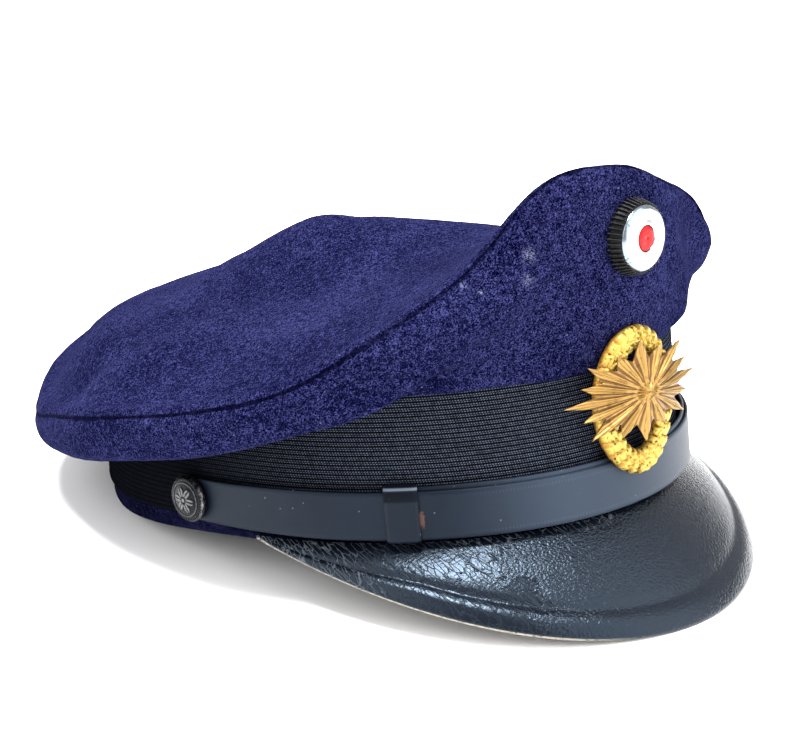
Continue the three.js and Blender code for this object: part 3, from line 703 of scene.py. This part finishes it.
def leather(name, bent):
    """The strap's leather: blue-black with painted light making it paler in front, pricked along its
    edges, worn by the keeper.

    The more bent it is, as the keepers are, the more it has instead painted reflections: a dark band in
    the fold and a pale highlight along the edge.
    """
    look = bpy.context.scene.cap_leather
    finish = Finish(name, Specular_IOR_Level=0.16, Specular_Tint=(0.62, 0.8, 1.0))
    spot = finish.spot()
    along, across, _ = finish.parts(finish.place())
    grain = finish.noise(spot, 0.0005, 3, 0.6)
    broad = finish.noise(spot, 0.014, 3)
    # Painted light: the strap is paler towards the front, where more light falls on it.
    painted_light_front = abs(along).between(0.066, 0.02)
    # Painted reflection on the keepers: a dark band in the fold, and a painted highlight line along the
    # top edge.
    fold = across.between(0.0036, 0.0046) * across.between(0.0072, 0.0069)
    edge = across.between(0.0073, 0.0076) * across.between(0.0084, 0.008)
    from_middle = abs(across)
    pricks = from_middle.between(0.0052, 0.0055) * from_middle.between(0.0062, 0.0058)
    pricks = pricks * finish.math("SINE", along * (TURN / 0.0011)).between(0.2, 0.9)
    pale_dots = finish.cells(spot, 0.0042).between(0.075, 0.04)
    aside = (along - WORN_PLACE[0]) * (1 / WORN_SIZE[0])
    above = (across - WORN_PLACE[1]) * (1 / WORN_SIZE[1])
    away = finish.math("SQRT", aside * aside + above * above)
    worn = (away + (finish.noise(spot, 0.0009, 3) - 0.5) * 2.2).between(1.2, 0.6)
    colour = look.strap
    for share, tint in (
        (broad.between(0.3, 0.7) * 0.6 + grain * 0.2, toned(look.strap, 2.2)),
        (painted_light_front * (1 - bent), (0.018, 0.025, 0.038)),
        (fold * bent, (0.0004, 0.0006, 0.0014)),
        (edge * (bent * 0.8), (0.1, 0.12, 0.15)),
        (pricks * painted_light_front * 0.5, (0.04, 0.047, 0.06)),
        (pale_dots * 0.5, (0.12, 0.13, 0.15)),
        (worn * 0.55, (0.1, 0.045, 0.026)),
    ):
        colour = finish.mix(share, colour, tint)
    roughness = 0.4 + grain * 0.16 + fold * (bent * 0.4)
    finish.set(Base_Color=colour, Roughness=roughness, Normal=finish.bump(grain, 0.00005))
    return finish.material


def metal(name, colour, hollow, roughness, speck, grime, metallic=1.0):
    """A metal that is darker in its hollows and specked. Place holds how raised each point is."""
    finish = Finish(name, Metallic=metallic)
    spot = finish.spot()
    raised, _, _ = finish.parts(finish.place())
    tone = finish.noise(spot, 0.0035, 3)
    wandered = spot + finish.vector(tone * 0.002, tone * 0.001)
    dots = finish.cells(wandered, speck).between(0.36, 0.2)
    dots = dots * finish.noise(spot, speck * 1.6, 2).between(0.42, 0.52)
    clean = (raised + (tone - 0.5) * 0.9).between(0.1, 0.6)
    shade = finish.mix(clean, hollow, colour)
    shade = finish.mix(dots * grime, shade, toned(hollow, 0.1))
    finish.set(Base_Color=shade, Roughness=roughness + tone * 0.12 + dots * 0.2)
    finish.set(Normal=finish.bump(1 - dots, 0.0001))
    return finish.material


def blackened():
    """Blackened metal, worn pale where it is raised, and pale along its rim and side wall, partly from
    wear and partly as painted light. Place: relief, share, 0.
    """
    look = bpy.context.scene.cap_metal
    finish = Finish("blackened metal", Metallic=1.0)
    relief, share, _ = finish.parts(finish.place())
    wear = finish.noise(finish.spot(), 0.0008, 3)
    worn = (relief + (wear - 0.5) * 1.1).between(0.5, 1.1)
    # The pale rim round the side wall is partly wear and partly painted light on the lit side.
    rim = share.between(0.92, 0.98) * wear.between(0.35, 0.6)
    worn = finish.math("MAXIMUM", worn * 0.8, rim)
    finish.set(Base_Color=finish.mix(worn, look.black, (0.13, 0.13, 0.135)), Roughness=0.3 + wear * 0.2)
    return finish.material


def enamel():
    """The red middle of the cockade."""
    look = bpy.context.scene.cap_metal
    finish = Finish("red enamel", Specular_IOR_Level=0.2, Specular_Tint=(1.0, 0.3, 0.3))
    shade = finish.noise(finish.spot(), 0.002, 2)
    colour = finish.mix(shade.between(0.3, 0.8), look.red, toned(look.red, 0.6))
    finish.set(Base_Color=colour, Roughness=0.3, Normal=finish.bump(shade, 0.0003))
    return finish.material


def soft_wander(points, amount):
    """How far the crown's felt wanders out from its smooth form."""
    return amount * np.array([
        noise.noise(Vector(point / 0.02)) + 0.4 * noise.noise(Vector(point / 0.008))
        for point in points])


class CAP_OT_crown(bpy.types.Operator):
    """Makes the top and side panels of the crown in felt, with their folds and the seam."""

    bl_idname = "cap.crown"
    bl_label = "Crown"

    def execute(self, context):
        material = felt("wool felt")
        unevenness = context.scene.cap_felt.unevenness
        top = worked_copy("crown_top_felt", ["crown_top"], material, 2)
        quarters = ["crown_side_" + way for way in ("front", "right", "back", "left")]
        side = worked_copy("crown_side_felt", quarters, material, 3)
        surfaces = surface_of(top), surface_of(side)
        for piece, other, folds in ((top, surfaces[1], TOP_FOLDS), (side, surfaces[0], SIDE_FOLDS)):
            points = coordinates(piece.data)
            outward = np.array([0, 0, 1]) if piece is top else unit(points * [1, 1, 0])
            distances = seam_distances(piece, other)
            relief = seam_relief(distances) + fold_relief(points, folds)
            pushed_out(piece, outward, relief + soft_wander(points, unevenness))
            seam = piece.data.attributes.new("seam", "FLOAT", "POINT")
            seam.data.foreach_set("value", (1 - distances / SEAM_REACH).astype(np.float32))
        return {"FINISHED"}


def band_outlines(growth, wall, heights, relief):
    """Outlines of a band round the head: up its outer face by the given heights, and down inside."""
    angles = all_round(BAND_STATIONS)
    outer = on_band(angles, growth + relief, heights)
    low, high = heights[[0, -1]]
    inner_heights = np.array([high, (low + high) / 2, low])
    inner = on_band(angles, growth - wall, inner_heights)
    outlines = leant(np.concatenate([outer, inner], axis=1))
    across = np.concatenate([heights, inner_heights])
    side = np.concatenate([np.zeros(len(heights)), np.ones(3)])
    return outlines, points_of(angles * BAND_RADIUS, across, side)


class CAP_OT_bands(bpy.types.Operator):
    """Makes the felt head band and the ribbed black band round it."""

    bl_idname = "cap.bands"
    bl_label = "Bands"

    def execute(self, context):
        edge = 0.0008
        heights = np.array([0, 0.0002, edge, 0.003, 0.006, 0.02, 0.034, BAND_HEIGHT])
        relief = -edge * (1 - np.sqrt(1 - np.clip(1 - heights / edge, 0, 1) ** 2))
        outlines = band_outlines(-MOHAIR_WALL - GAP, WOOL_WALL, heights, relief)
        # The head band's felt is a darker copy of the crown's felt: painted shade near the floor.
        wool = loft("wool_band_felt", *outlines, "felt", felt("shaded felt", 0.4), True)
        look = context.scene.cap_band
        ribs = round((BAND_HEIGHT - MOHAIR_START) / look.pitch)
        heights = np.linspace(MOHAIR_START, BAND_HEIGHT, ribs * 4 + 1)
        turn = math.pi * (heights - MOHAIR_START) / look.pitch
        relief = look.depth * (np.abs(np.sin(turn)) ** 0.7 - 1)
        outlines = band_outlines(0, MOHAIR_WALL, heights, relief)
        braid = loft("mohair_band_ribbed", *outlines, "mohair", mohair(), True)
        return {"FINISHED"}


def peak_length(sweep):
    return PEAK_LENGTH * (1 - np.abs(sweep) ** PEAK_PLAN_POWER) ** PEAK_LENGTH_POWER


def peak_middle(sweep, share):
    """Points in the middle of the peak's wall: from its left end to its right, root to edge."""
    angle = sweep * PEAK_HALF_SWEEP
    length = peak_length(sweep)
    forward = np.array([0, -PEAK_FORWARD_SHARE, 0])
    direction = unit(oval_normal(angle) * (1 - PEAK_FORWARD_SHARE) + forward)
    droop = (PEAK_DROOP + PEAK_DROOP_EASE * sweep ** 2)[..., None]
    up = np.array([0, 0, 1])
    slope = direction * np.cos(droop) - up * np.sin(droop)
    normal = direction * np.sin(droop) + up * np.cos(droop)
    scale = np.minimum(1, length / PEAK_FULL_LENGTH)
    inset = (1 - share) * length / (PEAK_GROOVE_IN * scale)
    inset_share = np.clip(inset, 0, 1)
    rim = np.sin(math.pi * inset_share) ** np.where(inset_share < 0.5, 0.8, 1.7)
    rim = PEAK_RIM_HEIGHT * scale * (rim - PEAK_GROOVE_DEPTH * hump(inset, 1.05, 0.2))
    bulge = PEAK_BULGE * scale * np.sin(math.pi * np.clip(share, 0, 1))
    root = on_oval(angle, PEAK_ROOT_OUT, PEAK_ROOT_HEIGHT)
    return root + slope * (length * share)[..., None] + normal * (rim + bulge)[..., None]


def peak_normal(sweep, share):
    along = peak_middle(sweep, share + 0.01) - peak_middle(sweep, share - 0.01)
    round_it = peak_middle(sweep + 0.004, share) - peak_middle(sweep - 0.004, share)
    normal = unit(np.cross(along, round_it))
    return normal * np.where(normal[..., 2:] < 0, -1, 1)


class CAP_OT_peak(bpy.types.Operator):
    """Makes the lacquered peak with its raised rim."""

    bl_idname = "cap.peak"
    bl_label = "Peak"

    def execute(self, context):
        sweeps = np.linspace(-PEAK_SWEEP_END, PEAK_SWEEP_END, PEAK_STATIONS)[:, None]
        half_wall = PEAK_WALL / 2
        lengths = peak_length(sweeps)
        turns = np.linspace(0, math.pi / 2, PEAK_EDGE_STEPS)
        insets = np.linspace(1, 0, PEAK_STEPS, endpoint=False)
        face_shares = 1 - insets * (1 - half_wall / lengths) - half_wall / lengths
        edge_shares = 1 - half_wall * (1 - np.sin(turns)) / lengths
        shares = np.concatenate([face_shares, edge_shares], axis=1)
        thickness = half_wall * np.concatenate([np.ones(PEAK_STEPS), np.cos(turns)])[:, None]
        sweeps = np.broadcast_to(sweeps, shares.shape)
        middle = peak_middle(sweeps, shares)
        normal = peak_normal(sweeps, np.minimum(shares, 0.985))
        front = middle + normal * thickness
        back = (middle - normal * thickness)[:, -2::-1]
        outlines = leant(np.concatenate([front, back], axis=1))
        along = sweeps * PEAK_HALF_SWEEP * BAND_RADIUS
        inset = (1 - shares) * lengths
        round_edge = np.concatenate([np.zeros(PEAK_STEPS), turns / math.pi])
        back_place = points_of(along, inset, 1)[:, -2::-1]
        place = np.concatenate([points_of(along, inset, round_edge), back_place], axis=1)
        loft("peak_lacquered", outlines, place, "lacquer", lacquer(), False)
        return {"FINISHED"}


def strap_outlines(side, far_keeper, outward, rise):
    """Outlines of a strap from its round end at one button to its tail past the far keeper."""
    round_span = STRAP_WIDTH / 2 / BAND_RADIUS
    start = BUTTON_ANGLE
    round_end = start + round_span * np.cos(np.linspace(0.12, math.pi / 2, 14))
    straight = np.linspace(start, -far_keeper - STRAP_TAIL_PAST_KEEPER, STRAP_STATIONS)[1:]
    places = np.concatenate([round_end, straight])
    angle = side * places
    past = np.clip((places - start) / round_span, 0, 1)
    narrowing = STRAP_NARROWING * smoothstep(places, STRAP_NARROWING_START, start)
    half = (STRAP_WIDTH / 2 - narrowing) * np.sqrt(1 - past ** 2)
    settle = smoothstep(places, SETTLE_START, SETTLE_FULL)
    growth = outward + (STRAP_INNER_OUT - outward) * settle
    low = STRAP_LOW + STRAP_BACK_RISE * (1 - np.cos(angle))
    middle = low + STRAP_WIDTH / 2 - narrowing + rise * (1 - settle)
    levels = np.linspace(-1, 1, STRAP_STEPS)
    face = np.ones(STRAP_STEPS)
    out = STRAP_WALL * np.concatenate([face, [0.65, 0.35], 0 * face, [0.35, 0.65]])
    up = np.concatenate([levels, [1, 1], levels[::-1], [-1, -1]])
    pulled = STRAP_EDGE * np.concatenate([face, [0, 0], face, [0, 0]])
    reach = up * np.maximum(half[:, None] - pulled, 0.0002)
    points = on_oval(angle[:, None], growth[:, None] + out, middle[:, None] + reach)
    return leant(points), points_of(places[:, None] * BAND_RADIUS, reach, out)


def keeper_outlines(angle):
    """Outlines of a flat loop round both straps: one for each step round its opening."""
    low = STRAP_LOW + STRAP_BACK_RISE * (1 - math.cos(angle)) - GAP / 2
    high = low + STRAP_WIDTH + STRAP_INNER_RISE + GAP
    inner = KEEPER_OUT + KEEPER_WALL
    outer = STRAP_OUTER_OUT + STRAP_WALL + KEEPER_OUT
    corner = KEEPER_CORNER
    path = []
    for out, up, start in ((outer, high, 0), (inner, high, 1), (inner, low, 2), (outer, low, 3)):
        bend = KEEPER_BEND if (out, up) == (outer, high) else 0
        centre_out = out + (-corner - bend if out == outer else corner)
        centre_up = up + (-corner if up == high else corner)
        for step in np.linspace(0, 1, 6):
            turn = (start + step) * math.pi / 2
            path.append((centre_out, centre_up, math.cos(turn), math.sin(turn)))
    for level in np.linspace(low + corner, high - corner, 18)[1:-1]:
        bend = KEEPER_BEND * max(0, 1 - (high - corner - level) / KEEPER_BEND_START) ** 2
        path.append((outer - corner - bend, level, 1, 0))
    path = np.array(path)
    spread = np.linspace(-1, 1, KEEPER_STEPS)
    turns = np.concatenate([spread, spread[::-1]]) * KEEPER_WIDTH / 2 / BAND_RADIUS + angle
    wall = corner + KEEPER_WALL * np.repeat([1, 0], KEEPER_STEPS)
    wall[[0, KEEPER_STEPS - 1]] -= KEEPER_EDGE_ROUNDING
    out = path[:, 0, None] + path[:, 2, None] * wall
    wall_up = wall - np.where(wall > corner, KEEPER_WALL - KEEPER_EDGE, 0)
    up = path[:, 1, None] + path[:, 3, None] * wall_up
    return leant(on_oval(turns, out, up)), points_of(1, up - (low + high) / 2, 0)


class CAP_OT_strap(bpy.types.Operator):
    """Makes the two layers of the chin strap and their two keepers."""

    bl_idname = "cap.strap"
    bl_label = "Chin strap"

    def execute(self, context):
        flat = leather("strap leather", 0.0)
        # The keepers' leather has painted reflections in its bend.
        bent = leather("keeper leather", 0.9)
        for name, side, keeper, outward, rise in (
            ("chin_strap_outer", 1, KEEPER_LEFT_ANGLE, STRAP_OUTER_OUT, 0),
            ("chin_strap_inner", -1, KEEPER_RIGHT_ANGLE, STRAP_INNER_OUT, STRAP_INNER_RISE),
        ):
            outlines = strap_outlines(side, keeper, outward, rise)
            loft(name + "_leather", *outlines, "strap_leather", flat, False)
        for name, angle in (("keeper_right", KEEPER_RIGHT_ANGLE), ("keeper_left", -KEEPER_LEFT_ANGLE)):
            loft(name + "_leather", *keeper_outlines(angle), "strap_leather", bent, True)
        return {"FINISHED"}


def seat_of(node):
    """The middle of a turned node's base, and the way its axis points out of the cap."""
    points = np.array([vertex.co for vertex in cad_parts[node].data.vertices])
    points = np.unique(points.round(7), axis=0)
    centre = points.mean(axis=0)
    axis = np.linalg.svd(points - centre)[2][2]
    out = np.array([centre[0], centre[1], 0])
    axis = axis * np.sign(axis @ out)
    return centre + axis * ((points - centre) @ axis).min(), axis


def turned_outlines(base, axis, radii, heights, sides):
    """Outlines of a turned piece: radii and heights may differ round it, as arrays of sides."""
    side_way = unit(np.cross(axis, [0, 0, 1]))
    up_way = np.cross(side_way, axis)
    turns = all_round(sides)
    radii = np.broadcast_to(radii, (sides, radii.shape[-1]))
    heights = np.broadcast_to(heights, radii.shape)
    round_it = np.cos(turns)[..., None] * side_way + np.sin(turns)[..., None] * up_way
    return base + round_it * radii[..., None] + heights[..., None] * axis


def turned(name, slot, material, profile, sides, raised=1.0, share=0.0):
    """A turned piece that sits where the node that it stands for does.

    Its profile is (radii, heights), and starts and ends close to the axis. The profile and how
    raised each point is may differ round the piece, as arrays with a row for each of its sides.
    """
    base, axis = seat_of(node_of(name))
    outlines = turned_outlines(base, axis, *profile, sides)
    place = points_of(raised, share, np.zeros(outlines.shape[:2]))
    return loft(name, outlines, place, slot, material, True)


def button_relief(turns, shares):
    """The button's raised flower with a ring round it, 0 to 1."""
    petal = 0.62 * np.abs(np.cos(BUTTON_PETALS / 2 * turns)) ** 0.5
    flower = smoothstep(petal - shares, -0.02, 0.06) * smoothstep(shares, 0.13, 0.2)
    vein = 0.6 * hump(np.sin(BUTTON_PETALS / 2 * turns), 0, 0.25)
    middle = 1 - smoothstep(shares, 0.08, 0.13)
    ring = hump(shares, 0.74, 0.025)
    return np.maximum(flower * (1 - vein), np.maximum(middle, ring))


class CAP_OT_buttons(bpy.types.Operator):
    """Makes the two blackened buttons at the ends of the strap."""

    bl_idname = "cap.buttons"
    bl_label = "Buttons"

    def execute(self, context):
        material = blackened()
        turns = all_round(BUTTON_SIDES)
        shares = np.linspace(1, 0.002, 40)[None, :]
        relief = button_relief(turns, shares)
        milled = hump(shares, 0.9, 0.06) * (0.6 + 0.4 * np.cos(BUTTON_TEETH * turns))
        dome = BUTTON_TOP - BUTTON_DOME * shares ** 2 - BUTTON_EDGE * smoothstep(shares, 0.93, 1)
        front_heights = dome + BUTTON_RELIEF * relief + BUTTON_MILLING * milled
        back = np.zeros((BUTTON_SIDES, 4))
        all_shares = np.concatenate([[[0.002, 0.86, 0.97, 1.0]], shares], axis=1)
        heights = np.concatenate([back + [0, 0, 0.0004, 0.001], front_heights], axis=1)
        raised = np.concatenate([back, np.maximum(relief, 0.7 * milled)], axis=1)
        for name in ("button_right_metal", "button_left_metal"):
            profile = all_shares * BUTTON_RADIUS, heights
            turned(name, "black_metal", material, profile, BUTTON_SIDES, raised, all_shares)
        return {"FINISHED"}


class CAP_OT_cockade(bpy.types.Operator):
    """Makes the cockade's finned ring, pale disc and red middle."""

    bl_idname = "cap.cockade"
    bl_label = "Cockade"

    def execute(self, context):
        look = context.scene.cap_metal
        sides = COCKADE_FINS * 12
        fins = (0.5 + 0.5 * np.cos(COCKADE_FINS * all_round(sides))) ** 5
        levels = np.array([[0, 0.0003, 0.0013, 0.0024, 0.0035, COCKADE_HEIGHT]])
        outer = COCKADE_RADIUS - COCKADE_TAPER * levels - COCKADE_FIN_DEPTH * (1 - fins)
        radii = np.concatenate([outer, np.full((sides, 2), COCKADE_HOLE)], axis=1)
        heights = np.concatenate([levels, [[COCKADE_HEIGHT, 0]]], axis=1)
        cord = Finish("black cord", Specular_IOR_Level=0.12)
        raised, _, _ = cord.parts(cord.place())
        grain = cord.noise(cord.spot(), 0.0007, 3)
        # The fins' ridges are painted a little paler: painted highlight on their crests.
        ridge = (raised * grain).between(0.25, 0.5)
        cord.set(Base_Color=cord.mix(ridge, (0.0006, 0.0006, 0.0007), (0.02, 0.022, 0.026)))
        cord.set(Roughness=0.25 + grain * 0.3, Normal=cord.bump(grain, 0.00012))
        turned("cockade_rosette_finned", "black_cord", cord.material, (radii, heights), sides, fins)
        profile = np.array([
            (0.00002, 0), (0.0092, 0), (0.0097, 0.0004), (0.0098, 0.001), (0.0098, 0.0039),
            (0.0096, 0.0044), (0.0092, 0.0048), (0.0088, 0.0051), (0.0084, 0.0053), (0.0082, 0.0053),
            (0.0078, 0.0052), (0.0074, 0.00524), (0.007, 0.0053), (0.0066, 0.00525), (0.006, 0.0052),
            (0.0054, 0.0053), (0.0048, 0.0054), (0.0044, 0.0055), (0.0041, 0.0055), (0.0039, 0.0053),
            (0.0038, 0.0042), (0.00002, 0.0042),
        ]).T[:, None, :]
        # The pale metal's darker bluish-grey colour covers the disc's side wall: painted reflection of
        # the felt round it.
        pale = metal("pale metal", look.silver, (0.2, 0.235, 0.26), 0.14, 0.0013, 0.35)
        on_face = 1 - smoothstep(profile[0], 0.0083, 0.0087)
        turned("cockade_disc_polished", "pale_metal", pale, tuple(profile), 128, on_face)
        profile = np.array([
            (0.00002, 0), (0.0035, 0), (0.0037, 0.0002), (0.0037, 0.0005), (0.0036, 0.0007),
            (0.0032, 0.0008), (0.002, 0.00085), (0.001, 0.0009), (0.00002, 0.0009),
        ]).T[:, None, :]
        turned("cockade_centre_enamel", "red_enamel", enamel(), tuple(profile), 64)
        return {"FINISHED"}


def on_badge_face(across, up, out):
    """Bends a flat badge point round the front of the cap."""
    curve = (BAND_RIGHT + BADGE_OUT) ** 2 / (BAND_LENGTH + BADGE_OUT)
    bend = across ** 2 / (2 * curve)
    return leant(points_of(BADGE_ACROSS + across, bend - BADGE_FACE - out, BADGE_HEIGHT + up))


def badge_piece(name, slot, material, front, back, raised):
    """A piece of the badge from the outlines of its front, with how raised it is, and its back."""
    outlines = np.concatenate([front, back], axis=1)
    place = np.zeros(outlines.shape)
    place[:, :front.shape[1], 0] = raised
    loft(name, outlines, place, slot, material, True)


def leaf_relief(turn, offset):
    """The raised leaves of the wreath, 0 to 1: three rows that overlap from its foot to its top."""
    climb = np.abs(np.mod(turn, TURN) - math.pi) / math.pi
    height = np.zeros(np.broadcast(turn, offset).shape)
    for row, shift in ((-0.62, 0.0), (0.0, 0.5), (0.62, 0.25)):
        share = np.mod(climb * WREATH_LEAVES + shift, 1)
        width = 0.62 * np.sin(math.pi * share ** 0.75) ** 0.7 * (1 + 0.16 * np.cos(3 * TURN * share))
        across = (offset - row) / np.maximum(width, 0.05)
        leaf = np.clip(1 - across ** 2, 0, 1) ** 0.5 * (0.45 + 0.55 * share)
        vein = 0.2 * hump(across, 0, 0.14)
        height = np.maximum(height, np.where(np.abs(across) < 1, leaf - vein, 0))
    return height


class CAP_OT_badge(bpy.types.Operator):
    """Makes the gilt wreath of leaves and the rayed star on it."""

    bl_idname = "cap.badge"
    bl_label = "Badge"

    def execute(self, context):
        look = context.scene.cap_metal
        gilt = metal("yellow gilt", look.gilt, (0.33, 0.15, 0.015), 0.36, 0.0015, 0.9, 0.45)
        bronze = metal("bronze gilt", look.bronze, (0.09, 0.04, 0.01), 0.36, 0.0024, 0.2, 0.75)
        turns = all_round(WREATH_SIDES)
        offsets = np.linspace(-1, 1, 37)[None, :]
        relief = leaf_relief(turns, offsets)
        edge = 0.9 + 0.2 * np.where(offsets < 0, relief[:, 2:3], relief[:, -3:-2])
        dome = np.sqrt(np.clip(1 - offsets ** 2, 0, 1))
        out = WREATH_DEPTH * (0.25 + 0.37 * dome + 0.48 * relief)
        front = self.ring(turns, offsets * edge, out)
        back_offsets = np.linspace(0.8, -0.8, 9)[None, :]
        back = self.ring(turns, back_offsets, np.zeros((WREATH_SIDES, 9)))
        badge_piece("badge_wreath_leafed", "yellow_gilt", gilt, front, back, relief)
        self.star(bronze)
        return {"FINISHED"}

    def ring(self, turns, offsets, out):
        across = (WREATH_HALF_WIDTH + offsets * WREATH_HALF_TUBE) * np.sin(turns)
        up = (WREATH_HALF_HEIGHT + offsets * WREATH_HALF_TUBE) * np.cos(turns)
        return on_badge_face(across, up, out)

    def star(self, material):
        """The star's rays, each with a ridge and fine flutes, round a ringed boss."""
        corner = np.arange(2 * STAR_RAYS)
        ray = np.where(corner % 4 == 2, STAR_SHORT_RAY, 1)
        reach = np.where(corner % 2 == 1, STAR_VALLEY, ray)[:, None]
        turn = (corner * TURN / (2 * STAR_RAYS))[:, None]
        corners = reach * np.concatenate([np.sin(turn), np.cos(turn)], axis=1)
        step = np.linspace(0, 1, 12, endpoint=False)
        rim = corners[:, None] * (1 - step[:, None])
        rim = (rim + np.roll(corners, -1, axis=0)[:, None] * step[:, None]).reshape(-1, 1, 2)
        from_ridge = np.where(corner[:, None] % 2 == 0, step, 1 - step).reshape(-1, 1)
        shares = np.linspace(1, 0.004, 44)[None, :]
        slope = smoothstep(1 - shares, 0, 0.75)
        ridge = (1 - from_ridge) * (0.5 + 1.3 * slope) + from_ridge * (0.1 + 1.6 * slope)
        flutes = 0.22 * np.cos(2 * TURN * from_ridge) * smoothstep(shares, 0.3, 0.5)
        boss = 1.1 * np.exp(-(shares / 0.17) ** 4) + 0.35 * hump(shares, 0.27, 0.03)
        to_edge = 1 - 0.6 * smoothstep(shares, 0.93, 1)
        heights = STAR_EDGE + STAR_RELIEF * (ridge + flutes + boss) * to_edge
        raised = np.clip(1 - from_ridge + 2 * flutes + boss, 0, 1)
        back = WREATH_DEPTH * 1.1 + GAP
        across = STAR_ACROSS + STAR_HALF_WIDTH * rim[..., 0] * shares
        up = STAR_UP + STAR_HALF_HEIGHT * rim[..., 1] * shares
        front = on_badge_face(across, up, back + heights)
        under = on_badge_face(across[:, ::-4], up[:, ::-4], back)
        badge_piece("badge_star_rayed", "bronze_gilt", material, front, under, raised)


class CAP_OT_stage(bpy.types.Operator):
    """Makes the pale floor, the soft light and the camera."""

    bl_idname = "cap.stage"
    bl_label = "Stage"

    def execute(self, context):
        scene = context.scene
        look = scene.cap_stage
        paper = Finish("floor", Base_Color=look.floor, Roughness=0.9, Specular_IOR_Level=0.1)
        mesh = bpy.data.meshes.new("floor")
        corners = [(FLOOR_HALF * x, FLOOR_HALF * y, 0) for x, y in ((-1, -1), (1, -1), (1, 1), (-1, 1))]
        mesh.from_pydata(corners, [], [(0, 1, 2, 3)])
        mesh.materials.append(paper.material)
        self.stood("floor", mesh)
        world = bpy.data.worlds.new("sky")
        world.use_nodes = True
        sky = world.node_tree.nodes["Background"]
        sky.inputs["Color"].default_value = (1, 1, 1, 1)
        sky.inputs["Strength"].default_value = look.sky
        scene.world = world
        self.lamp("overhead", "SUN", OVERHEAD_PLACE, look.overhead).angle = OVERHEAD_SPREAD
        self.lamp("left", "SUN", LEFT_PLACE, look.left).angle = LEFT_SPREAD
        self.lamp("front", "AREA", FRONT_PLACE, look.front).size = FRONT_SIZE
        camera = bpy.data.cameras.new("camera")
        camera.lens = CAMERA_LENS
        camera.sensor_width = CAMERA_SENSOR
        camera.clip_start = 0.01
        flat = math.cos(CAMERA_ELEVATION)
        back = (math.sin(CAMERA_AZIMUTH) * flat, -math.cos(CAMERA_AZIMUTH) * flat,
                math.sin(CAMERA_ELEVATION))
        scene.camera = self.stood("camera", camera, CAMERA_PLACE, back)
        scene.view_settings.view_transform = "Standard"
        return {"FINISHED"}

    def stood(self, name, data, location=(0, 0, 0), back=(0, 0, 1)):
        """Stands the floor, a lamp or the camera in the scene, with its back the way that is given."""
        made = linked(name, data)
        made.location = location
        made.rotation_euler = Vector(back).to_track_quat("Z", "Y").to_euler()
        return made

    def lamp(self, name, kind, location, energy):
        """A soft light that faces the cap."""
        light = bpy.data.lights.new(name, kind)
        light.energy = energy
        self.stood(name, light, location, location)
        return light


class CAP_PT_pieces(bpy.types.Panel):
    """Lists the pieces of the cap and their settings."""

    bl_label = "Peaked cap"
    bl_idname = "CAP_PT_pieces"
    bl_space_type = "VIEW_3D"
    bl_region_type = "UI"
    bl_category = "Cap"

    def draw(self, context):
        for operator in OPERATORS:
            self.layout.operator(operator.bl_idname)
        for name, group in SETTINGS.items():
            settings = getattr(context.scene, name)
            self.layout.label(text=group.__doc__)
            for field in group.__annotations__:
                self.layout.prop(settings, field)


SETTINGS = {
    "cap_felt": FeltSettings,
    "cap_band": BandSettings,
    "cap_leather": LeatherSettings,
    "cap_metal": MetalSettings,
    "cap_stage": StageSettings,
}
OPERATORS = (
    CAP_OT_crown,
    CAP_OT_bands,
    CAP_OT_peak,
    CAP_OT_strap,
    CAP_OT_buttons,
    CAP_OT_cockade,
    CAP_OT_badge,
    CAP_OT_stage,
)
CLASSES = (*SETTINGS.values(), *OPERATORS, CAP_PT_pieces)


def register():
    for made in CLASSES:
        bpy.utils.register_class(made)
    for name, group in SETTINGS.items():
        setattr(bpy.types.Scene, name, PointerProperty(type=group))


def unregister():
    for name in SETTINGS:
        delattr(bpy.types.Scene, name)
    for made in reversed(CLASSES):
        bpy.utils.unregister_class(made)


def main():
    register()
    for operator in OPERATORS:
        getattr(bpy.ops.cap, operator.bl_idname.split(".")[1])()


if __name__ == "__main__":
    main()
